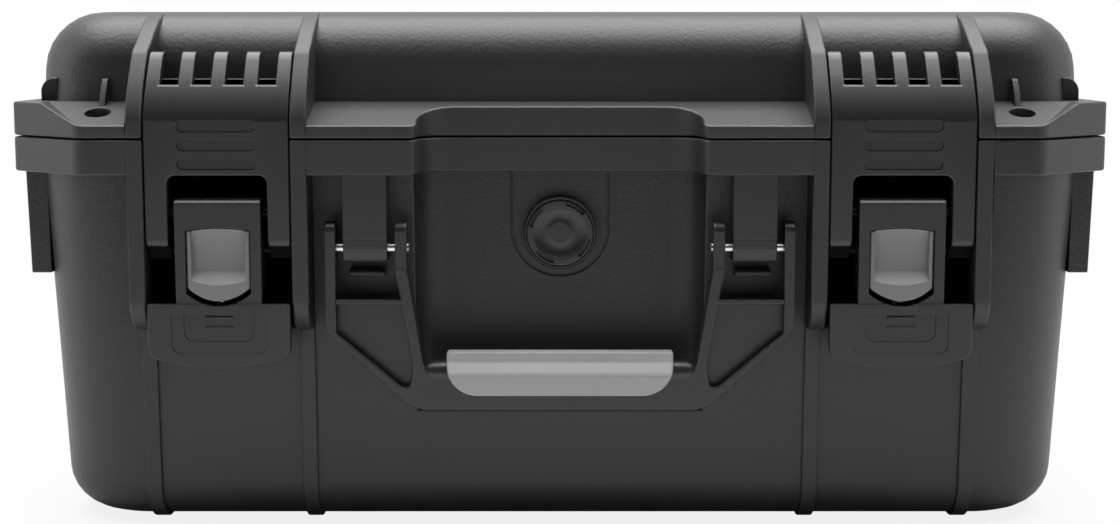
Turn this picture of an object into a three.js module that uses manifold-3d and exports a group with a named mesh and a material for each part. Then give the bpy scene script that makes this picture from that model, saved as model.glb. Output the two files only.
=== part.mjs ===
// Moulded hard case for graded cards: two front latches, a fold-down handle, a pressure vent, two rear hinges
// and foam with three long channels. Millimetres, +X right, +Y towards the hinges, +Z up.
// Depths are measured back from the front of the rim, and heights up or down from the parting plane.

import * as THREE from 'three';
import { mergeVertices } from 'three/addons/utils/BufferGeometryUtils.js';
import Module from 'manifold-3d';

const wasm = await Module();
wasm.setup();

// Overall sizes
const caseWidth = 379.2;
const caseDepth = 288;
const baseHeight = 136.7;
const lidHeight = 43.1;
const wall = 3.5;
const footHeight = 1.3;

// Drafted walls of the base
const baseSideInset = 5.2;
const baseFrontInset = 14;
const baseBackInset = 7;
const baseDraftSlope = 0.042;
const baseCornerRadius = 32;
const bottomFillet = 15;

// Drafted walls of the lid
const lidSideInset = 2.6;
const lidFrontInset = 26;
const lidBackInset = 9;
const lidDraftSlope = 0.05;
const lidCornerRadius = 32;
const shoulderRadius = 19.5;

// Rim flanges
const baseFlangeHeight = 11.9;
const lidFlangeHeight = 12;
const lidFrontEdge = 4.7;
const lidFlangeSlope = 0.3;
const slopeEndRun = 15.7;
const sealLedgeWall = 1.2;
const sealLedgeHeight = 9;
const partingGap = 0.5;
const skirtWall = 2.8;
const deckWall = 3.2;
const chamferWidth = 28.6;
const chamferDepth = 25;
const gripRecessHalf = 48;
const gripRecessDepth = 19;
const recessOuterRadius = 3;
const recessInnerRadius = 12;

// Wells in the base's front wall
const gripWellHalf = 50;
const gripWellDepth = 26.5;
const gripWellDrop = 95;
const bayWellDepth = 21;
const bayWellRadius = 2;
const lidBayDepth = 19;

// Latch bays and their ribs
const latchCentre = 114.9;
const bayWidth = 49.4;
const ribWidth = 5.5;
const ribDrop = 65.7;
const ribEndRadius = 12;
const ribKnee = 6;
const ribNose = 29.8;
const ribNoseDepth = 14;
const ribCrestDepth = 50;
const ribCurveShare = 1.4;
const wallRibWidth = 5.3;
const catchHeight = 20;
const catchWall = 3;
const catchLip = 1.2;

// Padlock holes, side gussets and lid fins
const padlockSideInset = 32.6;
const padlockDepth = 13;
const padlockRadius = 4.5;
const padlockBossWall = 3;
const gussetWall = 3.5;
const gussetDrop = 49;
const gussetTaper = 1;
const gussetPlace = 35;
const gussetEdgeInset = 0.8;
const finWall = 2.2;
const finHeight = 8;
const finReach = 8;
const frontFinSideInset = 32.4;
const sideFinDepth = 36;
const sideFinEdgeInset = 4.3;
const sideFinRootInset = 13;
const sideFinKnee = 4.4;
const sideFinTopInset = 8.6;

// Rear hinges
const hingeReach = 6.5;
const knuckleRadius = 4.2;
const hingePinRadius = 1.5;
const hingeWidth = 49;
const knuckleCount = 5;
const knuckleGap = 0.4;
const knuckleRootShare = 0.75;
const rearRibCrestDepth = 24;

// Seal in the lid and the tongue that presses on it
const channelInner = 0.8;
const channelWidth = 3.2;
const channelHeight = 4.2;
const sealSide = 0.3;
const sealTop = 0.3;
const sealHeight = 2;
const tongueWidth = 1.6;
const tongueHeight = 1.4;

// Latch claw
const clawSide = 0.35;
const clawInset = 0.6;
const clawWall = 4.1;
const clawLegDrop = 36;
const clawTipHeight = 29.2;
const clawTipReach = 4.2;
const clawTipThickness = 2.4;
const fingerSlotWidth = 6;
const fingerSlotBottom = 18.2;
const fingerCount = 5;
const windowTopDrop = 12;
const windowWidth = 33.4;
const windowRadius = 2.7;
const grooveLength = 26.3;
const grooveWidth = 3.7;
const groovePitch = 6.3;
const grooveMiddleDrop = 1.75;
const grooveDeep = 0.9;
const grooveCount = 3;
const legChamfer = 2.6;

// Latch lever with its pins
const leverWidth = 29;
const leverTopDrop = 20;
const leverDeep = 12;
const leverFaceWall = 3;
const leverCheekWall = 2.6;
const leverTopWall = 2.4;
const leverCheekDrop = 42;
const flapWidth = 48;
const flapTopDrop = 55.2;
const flapSideDrop = 69.9;
const flapCornerDrop = 74.4;
const flapBottomDrop = 77.3;
const flapCornerInset = 4;
const flapProud = 1;
const flapWall = 4;
const stepDeep = 0.5;
const outerStepHalf = 16.1;
const outerStepDrop = 72.1;
const innerStepHalf = 11.8;
const innerStepDrop = 67.9;
const stepTopDrop = 58.5;
const stepRadius = 3.5;
const barLength = 9.6;
const barHeight = 1.1;
const barTopGap = 4.1;
const barPitch = 3.4;
const barCount = 2;
const leverPinDepth = 7.5;
const leverPinDrop = 25;
const clawPinDepth = 8.5;
const clawPinDrop = 37.5;
const pinRadius = 1.6;
const pinPlay = 0.3;
const eyeRadius = 3.1;

// Release button and its spring
const buttonWidth = 21.1;
const buttonTopDrop = 28.7;
const buttonTopSag = 2;
const buttonBottomDrop = 54.1;
const buttonBottomSag = 4.2;
const buttonPlay = 0.3;
const buttonTravel = 1.5;
const buttonPlateWidth = 23.2;
const buttonPlateWall = 2.2;
const buttonPlateBottomDrop = 50;
const buttonPlateGap = 0.3;
const buttonScoopTopDrop = 30.6;
const ledgeDrop = 45.8;
const ledgeProud = 0.9;
const scoopDeep = 2.2;
const springLugWidth = 6;
const springLugHeight = 2.4;
const springRadius = 1.7;
const springWireRadius = 0.35;
const springTurns = 5;
const springSeatDrop = 59;
const springSeatWall = 1.6;
const springSeatWidth = 8;
const springGap = 0.3;

// Fold-down handle
const handlePinDrop = 36.7;
const handlePinDepth = 6;
const handleFront = 2;
const handleBack = 10;
const outerArmOuter = 79.5;
const outerArmInner = 75.7;
const innerArmOuter = 55.7;
const innerArmInner = 51.7;
const armTopDrop = 27.6;
const armTopRadius = 3.6;
const outerArmBendDrop = 64;
const innerArmBendDrop = 44.3;
const innerArmFootX = 46.3;
const innerArmFootDrop = 76;
const crossbarDrop = 54.1;
const crossbarWall = 1.6;
const rimWall = 3.6;
const pocketFloorWall = 3.4;
const pocketHeelX = 53.9;
const pocketHeelDrop = 83.4;
const pocketCutX = 51.1;
const pocketBendDrop = 65.2;
const armFilletX = 45.4;
const armFilletDrop = 78.3;
const barTopX = 42.6;
const barTopDrop = 80.6;
const frameHeelX = 51.6;
const frameHeelDrop = 90.4;
const frameBottomX = 46;
const frameBottomDrop = 92.1;
const gripHalf = 38.5;
const gripTopDrop = 70.8;
const gripBottomDrop = 86.6;
const gripCornerRadius = 10.5;
const gripFront = -0.9;
const gripBack = 12.6;
const gripBevel = 5.1;
const gripShoulder = 3.4;
const gripCrown = 0.9;
const gripShoulderDrop = 78;
const gripFit = 0.3;
const coreFront = 4;
const coreBack = 8;
const coreTopDrop = 74;
const handleBossInner = 58.4;
const handleBossOuter = 73.2;
const handleBossFront = 2.6;
const handleBossDrop = 41.4;
const handleBossTaper = 1.5;
const handlePinRadius = 1.6;
const handlePinEnd = 0.9;

// Pressure vent
const ventDrop = 33.4;
const ventRadius = 12.65;
const ventStand = 3.2;
const ventStemRadius = 6;
const ventStemEnd = 7.5;
const ventBore = 3;
const ventCupDepth = 1.8;
const ventCapWall = 1.2;
const ventCapLip = 1;
const ventSlotRadius = 10.4;
const ventSlotWidth = 1.5;
const ventSlotCount = 4;
const ventSlotAngle = 0.62;
const ventSlotTurn = 0.35;
const membraneWall = 0.4;
const membraneRadius = 5;
const ventNutWall = 4;
const ventNutRadius = 10;
const ventNutSides = 6;
const ventFit = 0.3;
const ventSealWall = 1;
const ventSealInner = 8;
const ventSealOuter = 11;
const ventPanelHalf = 17.35;
const ventPanelGroove = 0.8;
const ventPanelDeep = 0.7;
const ventPanelDrop = 49.3;

// Foam
const foamFit = 0.5;
const foamTopDrop = 2;
const slabLength = 89;
const channelDivider = 12;
const channelCount = 3;
const channelFront = 47;
const channelBackInset = 24;
const channelFloor = 12;
const lidFoamHeight = 18;
const reliefFit = 2;

// Fineness of curves, and how far a cut runs past its piece
const overrun = 1;
const weldGap = 1e-4;
const cornerSteps = 5;
const filletSteps = 3;
const arcSteps = 5;
const roundSteps = 12;
const ventSteps = 20;
const coilSteps = 8;
const coilSides = 5;

const black = { color: 0x2a2a2b, roughness: 0.55, metalness: 0 };
const darkGloss = { color: 0x252526, roughness: 0.4, metalness: 0 };
const grey = { color: 0x9b9b9b, roughness: 0.5, metalness: 0 };
const steel = { color: 0xc8c8c8, roughness: 0.25, metalness: 1 };
const foamLook = { color: 0x1b1b1c, roughness: 0.95, metalness: 0 };
const rubber = { color: 0x161616, roughness: 0.8, metalness: 0 };

// Solids from three.js geometry, and back
function solidOf(geometry) {
  const bare = geometry.clone();
  bare.deleteAttribute('normal');
  bare.deleteAttribute('uv');
  const welded = mergeVertices(bare, weldGap);
  return new wasm.Manifold(new wasm.Mesh({
    numProp: 3,
    vertProperties: new Float32Array(welded.attributes.position.array),
    triVerts: new Uint32Array(welded.index.array),
  }));
}

function geometryOf(solid) {
  const mesh = solid.getMesh();
  const geometry = new THREE.BufferGeometry();
  geometry.setAttribute('position', new THREE.BufferAttribute(new Float32Array(mesh.vertProperties), 3));
  geometry.setIndex(new THREE.BufferAttribute(new Uint32Array(mesh.triVerts), 1));
  geometry.computeVertexNormals();
  return geometry;
}

function meshOf(name, solid, look) {
  const mesh = new THREE.Mesh(geometryOf(solid), new THREE.MeshStandardMaterial(look));
  mesh.name = name;
  return mesh;
}

function join(...solids) {
  return solids.reduce((whole, piece) => whole.add(piece));
}

function cut(solid, ...tools) {
  return tools.reduce((rest, tool) => rest.subtract(tool), solid);
}

// Prisms of an outline, which is a THREE.Shape or a list of [u, v] points
function shapeOf(outline) {
  if (outline instanceof THREE.Shape) return outline;
  return new THREE.Shape(outline.map(([u, v]) => new THREE.Vector2(u, v)));
}

function extrusion(outline, length, steps = arcSteps) {
  return new THREE.ExtrudeGeometry(shapeOf(outline),
    { depth: length, bevelEnabled: false, curveSegments: steps });
}

// Outline in Y and Z, along X
function prismX(outline, from, to, steps) {
  const geometry = extrusion(outline, to - from, steps);
  const turn = new THREE.Matrix4().makeBasis(
    new THREE.Vector3(0, 1, 0), new THREE.Vector3(0, 0, 1), new THREE.Vector3(1, 0, 0));
  return solidOf(geometry.applyMatrix4(turn).translate(from, 0, 0));
}

// Outline in X and Z, along Y
function prismY(outline, from, to, steps) {
  return solidOf(extrusion(outline, to - from, steps).rotateX(Math.PI / 2).translate(0, to, 0));
}

// Outline in X and Y, along Z
function prismZ(outline, from, to, steps) {
  return solidOf(extrusion(outline, to - from, steps).translate(0, 0, from));
}

function block(x, y, z) {
  const box = new THREE.BoxGeometry(x[1] - x[0], y[1] - y[0], z[1] - z[0]);
  return solidOf(box.translate((x[0] + x[1]) / 2, (y[0] + y[1]) / 2, (z[0] + z[1]) / 2));
}

function rodX(y, z, radius, from, to, steps = roundSteps) {
  const rod = new THREE.CylinderGeometry(radius, radius, to - from, steps).rotateZ(Math.PI / 2);
  return solidOf(rod.translate((from + to) / 2, y, z));
}

function rodY(x, z, radius, from, to, steps = roundSteps) {
  const rod = new THREE.CylinderGeometry(radius, radius, to - from, steps);
  return solidOf(rod.translate(x, (from + to) / 2, z));
}

function rodZ(x, y, radius, from, to, steps = roundSteps) {
  const rod = new THREE.CylinderGeometry(radius, radius, to - from, steps).rotateX(Math.PI / 2);
  return solidOf(rod.translate(x, y, (from + to) / 2));
}

// A solid through rings of the same number of points, from the lowest ring to the highest
function loft(rings) {
  const count = rings[0].length;
  const positions = rings.flat().flatMap((point) => [point.x, point.y, point.z]);
  const index = [];
  for (let level = 0; level + 1 < rings.length; level += 1) {
    for (let i = 0; i < count; i += 1) {
      const a = level * count + i;
      const b = level * count + (i + 1) % count;
      index.push(a, b, b + count, a, b + count, a + count);
    }
  }
  const flat = rings[0].map((point) => new THREE.Vector2(point.x, point.y));
  const top = (rings.length - 1) * count;
  for (const [a, b, c] of THREE.ShapeUtils.triangulateShape(flat, [])) {
    index.push(c, b, a, top + a, top + b, top + c);
  }
  const geometry = new THREE.BufferGeometry();
  geometry.setAttribute('position', new THREE.Float32BufferAttribute(positions, 3));
  geometry.setIndex(index);
  return solidOf(geometry);
}

function roundedRing(halfWidth, front, back, radius, z) {
  const corners = [
    [halfWidth - radius, front + radius, -Math.PI / 2],
    [halfWidth - radius, back - radius, 0],
    [radius - halfWidth, back - radius, Math.PI / 2],
    [radius - halfWidth, front + radius, Math.PI],
  ];
  return corners.flatMap(([x, y, start]) => {
    const arc = [];
    for (let i = 0; i <= cornerSteps; i += 1) {
      const angle = start + (i / cornerSteps) * Math.PI / 2;
      arc.push(new THREE.Vector3(x + radius * Math.cos(angle), y + radius * Math.sin(angle), z));
    }
    return arc;
  });
}

// Base shell
const flangeHalf = caseWidth / 2;

// The drafted body of the base, moved in by an inset, up to a height over the parting plane
function baseBody(inset, top = 0) {
  const floor = -baseHeight + footHeight + inset;
  const fillet = bottomFillet - inset;
  const rings = [];
  const ring = (height, filletInset) => {
    const draft = -height * baseDraftSlope + inset + filletInset;
    rings.push(roundedRing(flangeHalf - baseSideInset - draft, baseFrontInset + draft,
      caseDepth - baseBackInset - draft, baseCornerRadius - inset - filletInset, height));
  };
  for (let i = 0; i <= filletSteps; i += 1) {
    const angle = (1 - i / filletSteps) * Math.PI / 2;
    ring(floor + fillet * (1 - Math.sin(angle)), fillet * (1 - Math.cos(angle)));
  }
  ring(top, 0);
  return loft(rings);
}

// The plan of both flanges: chamfered corners and the recess in front of the handle
function flangePlan(inset = 0) {
  const run = Math.hypot(chamferWidth, chamferDepth);
  const half = flangeHalf - inset;
  const front = inset;
  const back = caseDepth - inset;
  const frontX = flangeHalf - chamferWidth - inset * (chamferDepth / run) / (1 + chamferWidth / run);
  const sideShift = chamferDepth + inset * (chamferWidth / run) / (1 + chamferDepth / run);
  const outerRadius = Math.max(recessOuterRadius - inset, recessOuterRadius / cornerSteps);
  const innerRadius = recessInnerRadius + inset;
  const recess = gripRecessHalf + inset;
  const deep = gripRecessDepth + inset;
  const plan = new THREE.Shape();
  plan.moveTo(half, sideShift);
  plan.lineTo(half, caseDepth - sideShift);
  plan.lineTo(frontX, back);
  plan.lineTo(-frontX, back);
  plan.lineTo(-half, caseDepth - sideShift);
  plan.lineTo(-half, sideShift);
  plan.lineTo(-frontX, front);
  plan.absarc(-recess - outerRadius, front + outerRadius, outerRadius, -Math.PI / 2, 0, false);
  plan.absarc(innerRadius - recess, deep - innerRadius, innerRadius, Math.PI, Math.PI / 2, true);
  plan.absarc(recess - innerRadius, deep - innerRadius, innerRadius, Math.PI / 2, 0, true);
  plan.absarc(recess + outerRadius, front + outerRadius, outerRadius, Math.PI, 1.5 * Math.PI, false);
  plan.lineTo(frontX, front);
  return plan;
}

// A well in the front wall, seen from above, grown by an outset
function well(centre, half, depth, radius, outset, from, to) {
  const x = half + outset;
  const y = depth + outset;
  const r = radius + outset;
  const plan = new THREE.Shape();
  plan.moveTo(centre - x, -overrun);
  plan.lineTo(centre + x, -overrun);
  plan.absarc(centre + x - r, y - r, r, 0, Math.PI / 2, false);
  plan.absarc(centre - x + r, y - r, r, Math.PI / 2, Math.PI, false);
  return prismZ(plan, from, to, radius > wall ? arcSteps : filletSteps);
}

const latchCentres = [-latchCentre, latchCentre];
const bayHalf = bayWidth / 2;

function gripWell(outset, from, to) {
  return well(0, gripWellHalf, gripWellDepth, recessInnerRadius, outset, from, to);
}

function bayWells(outset, from, to) {
  return join(...latchCentres.map((x) => well(x, bayHalf, bayWellDepth, bayWellRadius, outset, from, to)));
}

// The line of the base's inner rim, moved outwards, as a prism
function rimPrism(outward, from, to) {
  const inset = wall - outward;
  const ring = (z) => roundedRing(flangeHalf - baseSideInset - inset, baseFrontInset + inset,
    caseDepth - baseBackInset - inset, baseCornerRadius - inset, z);
  const high = to + overrun;
  return cut(loft([ring(from), ring(to)]), gripWell(inset, from - overrun, high),
    bayWells(inset, from - overrun, high));
}

function rimBand(inner, outer, from, to) {
  return cut(rimPrism(outer, from, to), rimPrism(inner, from - overrun, to + overrun));
}

// Both sides of both latch bays carry a rib of this outline in Y and Z
function latchRibs(outline, width = ribWidth) {
  return latchCentres.flatMap((x) => [-1, 1].map((side) => {
    const edge = x + side * bayHalf;
    return prismX(outline, Math.min(edge, edge + side * width), Math.max(edge, edge + side * width));
  }));
}

function frontRibOutline() {
  const back = bayWellDepth + wall / 2;
  const outline = new THREE.Shape();
  outline.moveTo(0, 0);
  outline.lineTo(0, ribEndRadius - ribDrop);
  outline.absarc(ribEndRadius, ribEndRadius - ribDrop, ribEndRadius, Math.PI, 1.5 * Math.PI, false);
  outline.lineTo(back, -ribDrop);
  outline.lineTo(back, 0);
  return outline;
}

function rearRibOutline() {
  const inner = caseDepth - baseBackInset - ribDrop * baseDraftSlope - wall / 2;
  return [[inner, 0], [inner, -ribDrop], [caseDepth - baseBackInset, -ribDrop],
    [caseDepth, -baseFlangeHeight], [caseDepth, 0]];
}

// Knuckles of one hinge take turns between base and lid; this gives the places of one of them
function knuckleSpans(own) {
  const pitch = hingeWidth / knuckleCount;
  const spans = [];
  for (let i = own; i < knuckleCount; i += 2) {
    const from = i * pitch - hingeWidth / 2;
    spans.push([from + knuckleGap / 2, from + pitch - knuckleGap / 2]);
  }
  return spans;
}

const hingeDepth = caseDepth + hingeReach;

function knuckles(own, side, root) {
  const outline = new THREE.Shape();
  outline.moveTo(caseDepth - overrun, side * root);
  outline.lineTo(caseDepth - overrun, side * partingGap);
  outline.lineTo(hingeDepth, side * partingGap);
  const tip = hingeDepth + knuckleRadius * knuckleRootShare;
  outline.lineTo(tip, side * knuckleRadius * (knuckleRootShare - 1));
  outline.lineTo(tip, side * knuckleRadius * knuckleRootShare);
  const pieces = latchCentres.flatMap((x) => knuckleSpans(own).map(([from, to]) => cut(
    join(prismX(outline, x + from, x + to), rodX(hingeDepth, 0, knuckleRadius, x + from, x + to)),
    rodX(hingeDepth, 0, hingePinRadius + pinPlay, x + from - overrun, x + to + overrun))));
  return join(...pieces);
}

function sideGussets() {
  const top = -baseFlangeHeight + overrun;
  const outline = [
    [flangeHalf - gussetEdgeInset, top],
    [flangeHalf - gussetEdgeInset, -baseFlangeHeight],
    [flangeHalf - gussetEdgeInset - gussetTaper, -gussetDrop],
    [flangeHalf - baseSideInset - gussetDrop * baseDraftSlope - wall / 2, -gussetDrop],
    [flangeHalf - baseSideInset - wall, top],
  ];
  return [gussetPlace, caseDepth - gussetPlace - gussetWall].flatMap((y) => [1, -1].map((side) => {
    const points = outline.map(([x, z]) => [side * x, z]);
    return prismY(points, y, y + gussetWall);
  }));
}

function padlockRods(radius, from, to) {
  return [-1, 1].map((side) => rodZ(side * (flangeHalf - padlockSideInset), padlockDepth, radius, from, to));
}

// Low ribs round the base in line with the latch ribs; their feet carry the case
function wallRibs() {
  const skin = cut(baseBody(-footHeight, -baseFlangeHeight / 2), baseBody(wall / 2, 0));
  const inset = (ribWidth - wallRibWidth) / 2;
  const slabs = latchCentres.flatMap((x) => [-1, 1].map((side) => {
    const near = x + side * (bayHalf + inset);
    const far = near + side * wallRibWidth;
    return block([Math.min(near, far), Math.max(near, far)], [-overrun, caseDepth + overrun],
      [-baseHeight - overrun, -ribDrop + ribEndRadius]);
  }));
  return slabs.map((slab) => slab.intersect(skin));
}

function handleBosses() {
  const outline = new THREE.Shape();
  const foot = -handleBossDrop;
  const r = handleBossDrop - handlePinDrop;
  outline.moveTo(handleBossFront, -baseFlangeHeight + overrun);
  outline.lineTo(handleBossFront, foot + r);
  outline.lineTo(handleBossFront + handleBossTaper, foot);
  outline.lineTo(baseFrontInset + wall, foot - r);
  outline.lineTo(baseFrontInset + wall, -baseFlangeHeight + overrun);
  return [-1, 1].map((side) => {
    const from = Math.min(side * handleBossInner, side * handleBossOuter);
    const to = Math.max(side * handleBossInner, side * handleBossOuter);
    return cut(prismX(outline, from, to),
      rodX(handlePinDepth, -handlePinDrop, handlePinRadius + pinPlay, from - overrun, to + overrun));
  });
}

function ventGroove() {
  const outline = (half) => {
    const shape = new THREE.Shape();
    shape.moveTo(-half, -baseFlangeHeight + overrun);
    shape.lineTo(-half, -ventPanelDrop + ventPanelHalf);
    shape.absarc(0, -ventPanelDrop + ventPanelHalf, half, Math.PI, 2 * Math.PI, false);
    shape.lineTo(half, -baseFlangeHeight + overrun);
    return shape;
  };
  const back = gripWellDepth + ventPanelDeep;
  return cut(prismY(outline(ventPanelHalf), gripWellDepth - overrun, back),
    prismY(outline(ventPanelHalf - ventPanelGroove), gripWellDepth - 2 * overrun, back + overrun));
}

function makeBaseShell() {
  const recess = well(0, gripRecessHalf, gripRecessDepth, recessInnerRadius, 0, -baseFlangeHeight, overrun);
  const body = cut(baseBody(0), gripWell(0, -gripWellDrop, -baseFlangeHeight), recess);
  const flange = prismZ(flangePlan(), -baseFlangeHeight, 0);
  const hollow = cut(prismZ(flangePlan(skirtWall), -baseFlangeHeight - overrun, -deckWall),
    block([-gripWellHalf - skirtWall, gripWellHalf + skirtWall], [-overrun, baseFrontInset + wall],
      [-baseFlangeHeight - 2 * overrun, overrun]));
  const bosses = padlockRods(padlockRadius + padlockBossWall, -baseFlangeHeight, -deckWall / 2);
  const tongueFrom = channelInner + (channelWidth - tongueWidth) / 2;
  const tongue = rimBand(tongueFrom, tongueFrom + tongueWidth, -wall, partingGap + tongueHeight);
  const backRibs = latchRibs(rearRibOutline());
  const outside = join(cut(flange, hollow), body, ...bosses, ...handleBosses(), ...wallRibs(),
    ...sideGussets(), ...backRibs, knuckles(0, -1, baseFlangeHeight - skirtWall));
  const open = cut(outside, bayWells(0, -ribDrop, overrun));
  const ribbed = join(open, ...latchRibs(frontRibOutline()), tongue);
  const cavity = cut(baseBody(wall, overrun), gripWell(wall, -gripWellDrop - wall, 2 * overrun),
    bayWells(wall, -ribDrop - wall, 2 * overrun));
  const pinHoles = latchCentres.map((x) => rodX(leverPinDepth, -leverPinDrop, pinRadius + pinPlay,
    x - bayHalf - ribWidth - overrun, x + bayHalf + ribWidth + overrun));
  const ventHole = rodY(0, -ventDrop, ventStemRadius + ventFit, baseFrontInset,
    gripWellDepth + wall + overrun, ventSteps);
  return cut(ribbed, cavity, ...padlockRods(padlockRadius, -baseFlangeHeight - overrun, overrun), ...pinHoles,
    ventHole, ventGroove());
}

// Lid shell
function lidBody(inset, bottom = partingGap) {
  const top = lidHeight - inset;
  const radius = shoulderRadius - inset;
  const rings = [];
  const ring = (height, shoulderInset) => {
    const draft = height * lidDraftSlope + inset + shoulderInset;
    rings.push(roundedRing(flangeHalf - lidSideInset - draft, lidFrontInset + draft,
      caseDepth - lidBackInset - draft, lidCornerRadius - inset - shoulderInset, height));
  };
  ring(bottom, 0);
  for (let i = 0; i <= filletSteps + 1; i += 1) {
    const angle = (i / (filletSteps + 1)) * Math.PI / 2;
    ring(top - radius + radius * Math.sin(angle), radius * (1 - Math.cos(angle)));
  }
  return loft(rings);
}

// How far the latch front leans back at a height over the parting plane
function frontLean(height) {
  const share = Math.max(0, (height - ribKnee) / (ribNose - ribKnee));
  return ribNoseDepth * share ** ribCurveShare;
}

function frontLeanPoints(top, inset = 0) {
  const points = [];
  for (let i = 0; i <= arcSteps; i += 1) {
    const height = ribKnee + (i / arcSteps) * (top - ribKnee);
    points.push([frontLean(height) + inset, height]);
  }
  return points;
}

function lidFrontRib() {
  const inside = lidFrontInset + wall / 2;
  const crestInside = ribCrestDepth + overrun;
  return [[inside, partingGap], [inside, lidHeight / 2], [crestInside, lidHeight - wall / 2],
    [ribCrestDepth, lidHeight], ...frontLeanPoints(ribNose).reverse(), [0, partingGap]];
}

function lidRearRib() {
  const inside = caseDepth - lidBackInset - wall / 2;
  return [[inside, partingGap], [caseDepth, partingGap], [caseDepth, lidFlangeHeight],
    [caseDepth - rearRibCrestDepth, lidHeight - wall / 2], [inside - rearRibCrestDepth, lidHeight - wall]];
}

function lidFins() {
  const deck = lidFlangeHeight;
  const frontWall = lidFrontInset + wall / 2;
  const frontOutline = [[lidFrontInset - finReach, deck - lidFrontEdge], [frontWall, deck - lidFrontEdge],
    [frontWall, deck + finHeight], [lidFrontInset - wall / 2, deck + finHeight]];
  const finX = flangeHalf - frontFinSideInset;
  const front = [-finX, finX].map((x) => prismX(frontOutline, x - finWall / 2, x + finWall / 2));
  const sideWall = flangeHalf - lidSideInset;
  const side = [1, -1].map((sign) => {
    const points = [[sideWall - sideFinRootInset, deck - overrun],
      [sideWall - sideFinEdgeInset, deck - overrun], [sideWall - sideFinEdgeInset, deck + sideFinKnee],
      [sideWall - sideFinTopInset, deck + finHeight],
      [sideWall - sideFinRootInset, deck + finHeight]].map(([x, z]) => [sign * x, z]);
    return prismY(points, sideFinDepth, sideFinDepth + finWall);
  });
  return [...front, ...side];
}

function makeLidShell() {
  const levelDepth = (lidFlangeHeight - lidFrontEdge) / lidFlangeSlope;
  const slope = [[-overrun, partingGap], [hingeDepth, partingGap], [hingeDepth, lidFlangeHeight],
    [levelDepth, lidFlangeHeight], [-overrun, lidFrontEdge - overrun * lidFlangeSlope]];
  // Towards the chamfered corners the slope rises to the level deck in a short ramp
  const rampFoot = flangeHalf - chamferWidth;
  const ramps = [1, -1].map((sign) => prismY([[rampFoot, partingGap], [flangeHalf + overrun, partingGap],
    [flangeHalf + overrun, lidFlangeHeight], [rampFoot + slopeEndRun, lidFlangeHeight],
    [rampFoot, lidFrontEdge]].map(([x, z]) => [sign * x, z]), -overrun, levelDepth + overrun));
  const flange = prismZ(flangePlan(), partingGap, lidFlangeHeight)
    .intersect(join(prismX(slope, -flangeHalf - overrun, flangeHalf + overrun), ...ramps));
  const bays = latchCentres.map((x) => block([x - bayHalf, x + bayHalf], [-overrun, lidBayDepth],
    [0, lidHeight]));
  const catchTop = catchHeight + catchLip;
  const catchOutline = [[lidBayDepth, partingGap], [lidBayDepth + catchWall, partingGap],
    [lidBayDepth + catchWall, catchTop], [lidBayDepth + catchLip, catchTop], [lidBayDepth, catchHeight]];
  const catches = latchCentres.map((x) => prismX(catchOutline, x - bayHalf - overrun, x + bayHalf + overrun));
  const outside = join(cut(join(flange, ...lidFins()), ...bays), lidBody(0), ...catches,
    ...latchRibs(lidFrontRib()), ...latchRibs(lidRearRib()),
    knuckles(1, 1, lidFlangeHeight - skirtWall));
  // The rim stays thick enough inside to hold the seal's channel
  const ledge = wall + sealLedgeWall - channelInner;
  const ledgeRing = (z) => roundedRing(flangeHalf - baseSideInset - ledge, baseFrontInset + ledge,
    caseDepth - baseBackInset - ledge, baseCornerRadius - ledge, z);
  const ledgeTop = sealLedgeHeight;
  const around = cut(block([-flangeHalf, flangeHalf], [0, caseDepth], [-overrun, ledgeTop]),
    loft([ledgeRing(-2 * overrun), ledgeRing(ledgeTop + overrun)]));
  const cavity = cut(lidBody(wall, -overrun), around);
  const channel = rimBand(channelInner, channelInner + channelWidth, -overrun, partingGap + channelHeight);
  return cut(outside, cavity, channel, ...padlockRods(padlockRadius, -overrun, lidHeight / 2));
}

function makeLidSeal() {
  const top = partingGap + channelHeight - sealTop;
  return rimBand(channelInner + sealSide, channelInner + channelWidth - sealSide, top - sealHeight, top);
}

// Latch, in a frame at the middle of its bay
const clawHalf = bayHalf - clawSide;

function pillOutline(length, width, z) {
  const straight = (length - width) / 2;
  const pill = new THREE.Shape();
  pill.absarc(straight, z, width / 2, -Math.PI / 2, Math.PI / 2, false);
  pill.absarc(-straight, z, width / 2, Math.PI / 2, 1.5 * Math.PI, false);
  return pill;
}

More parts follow.
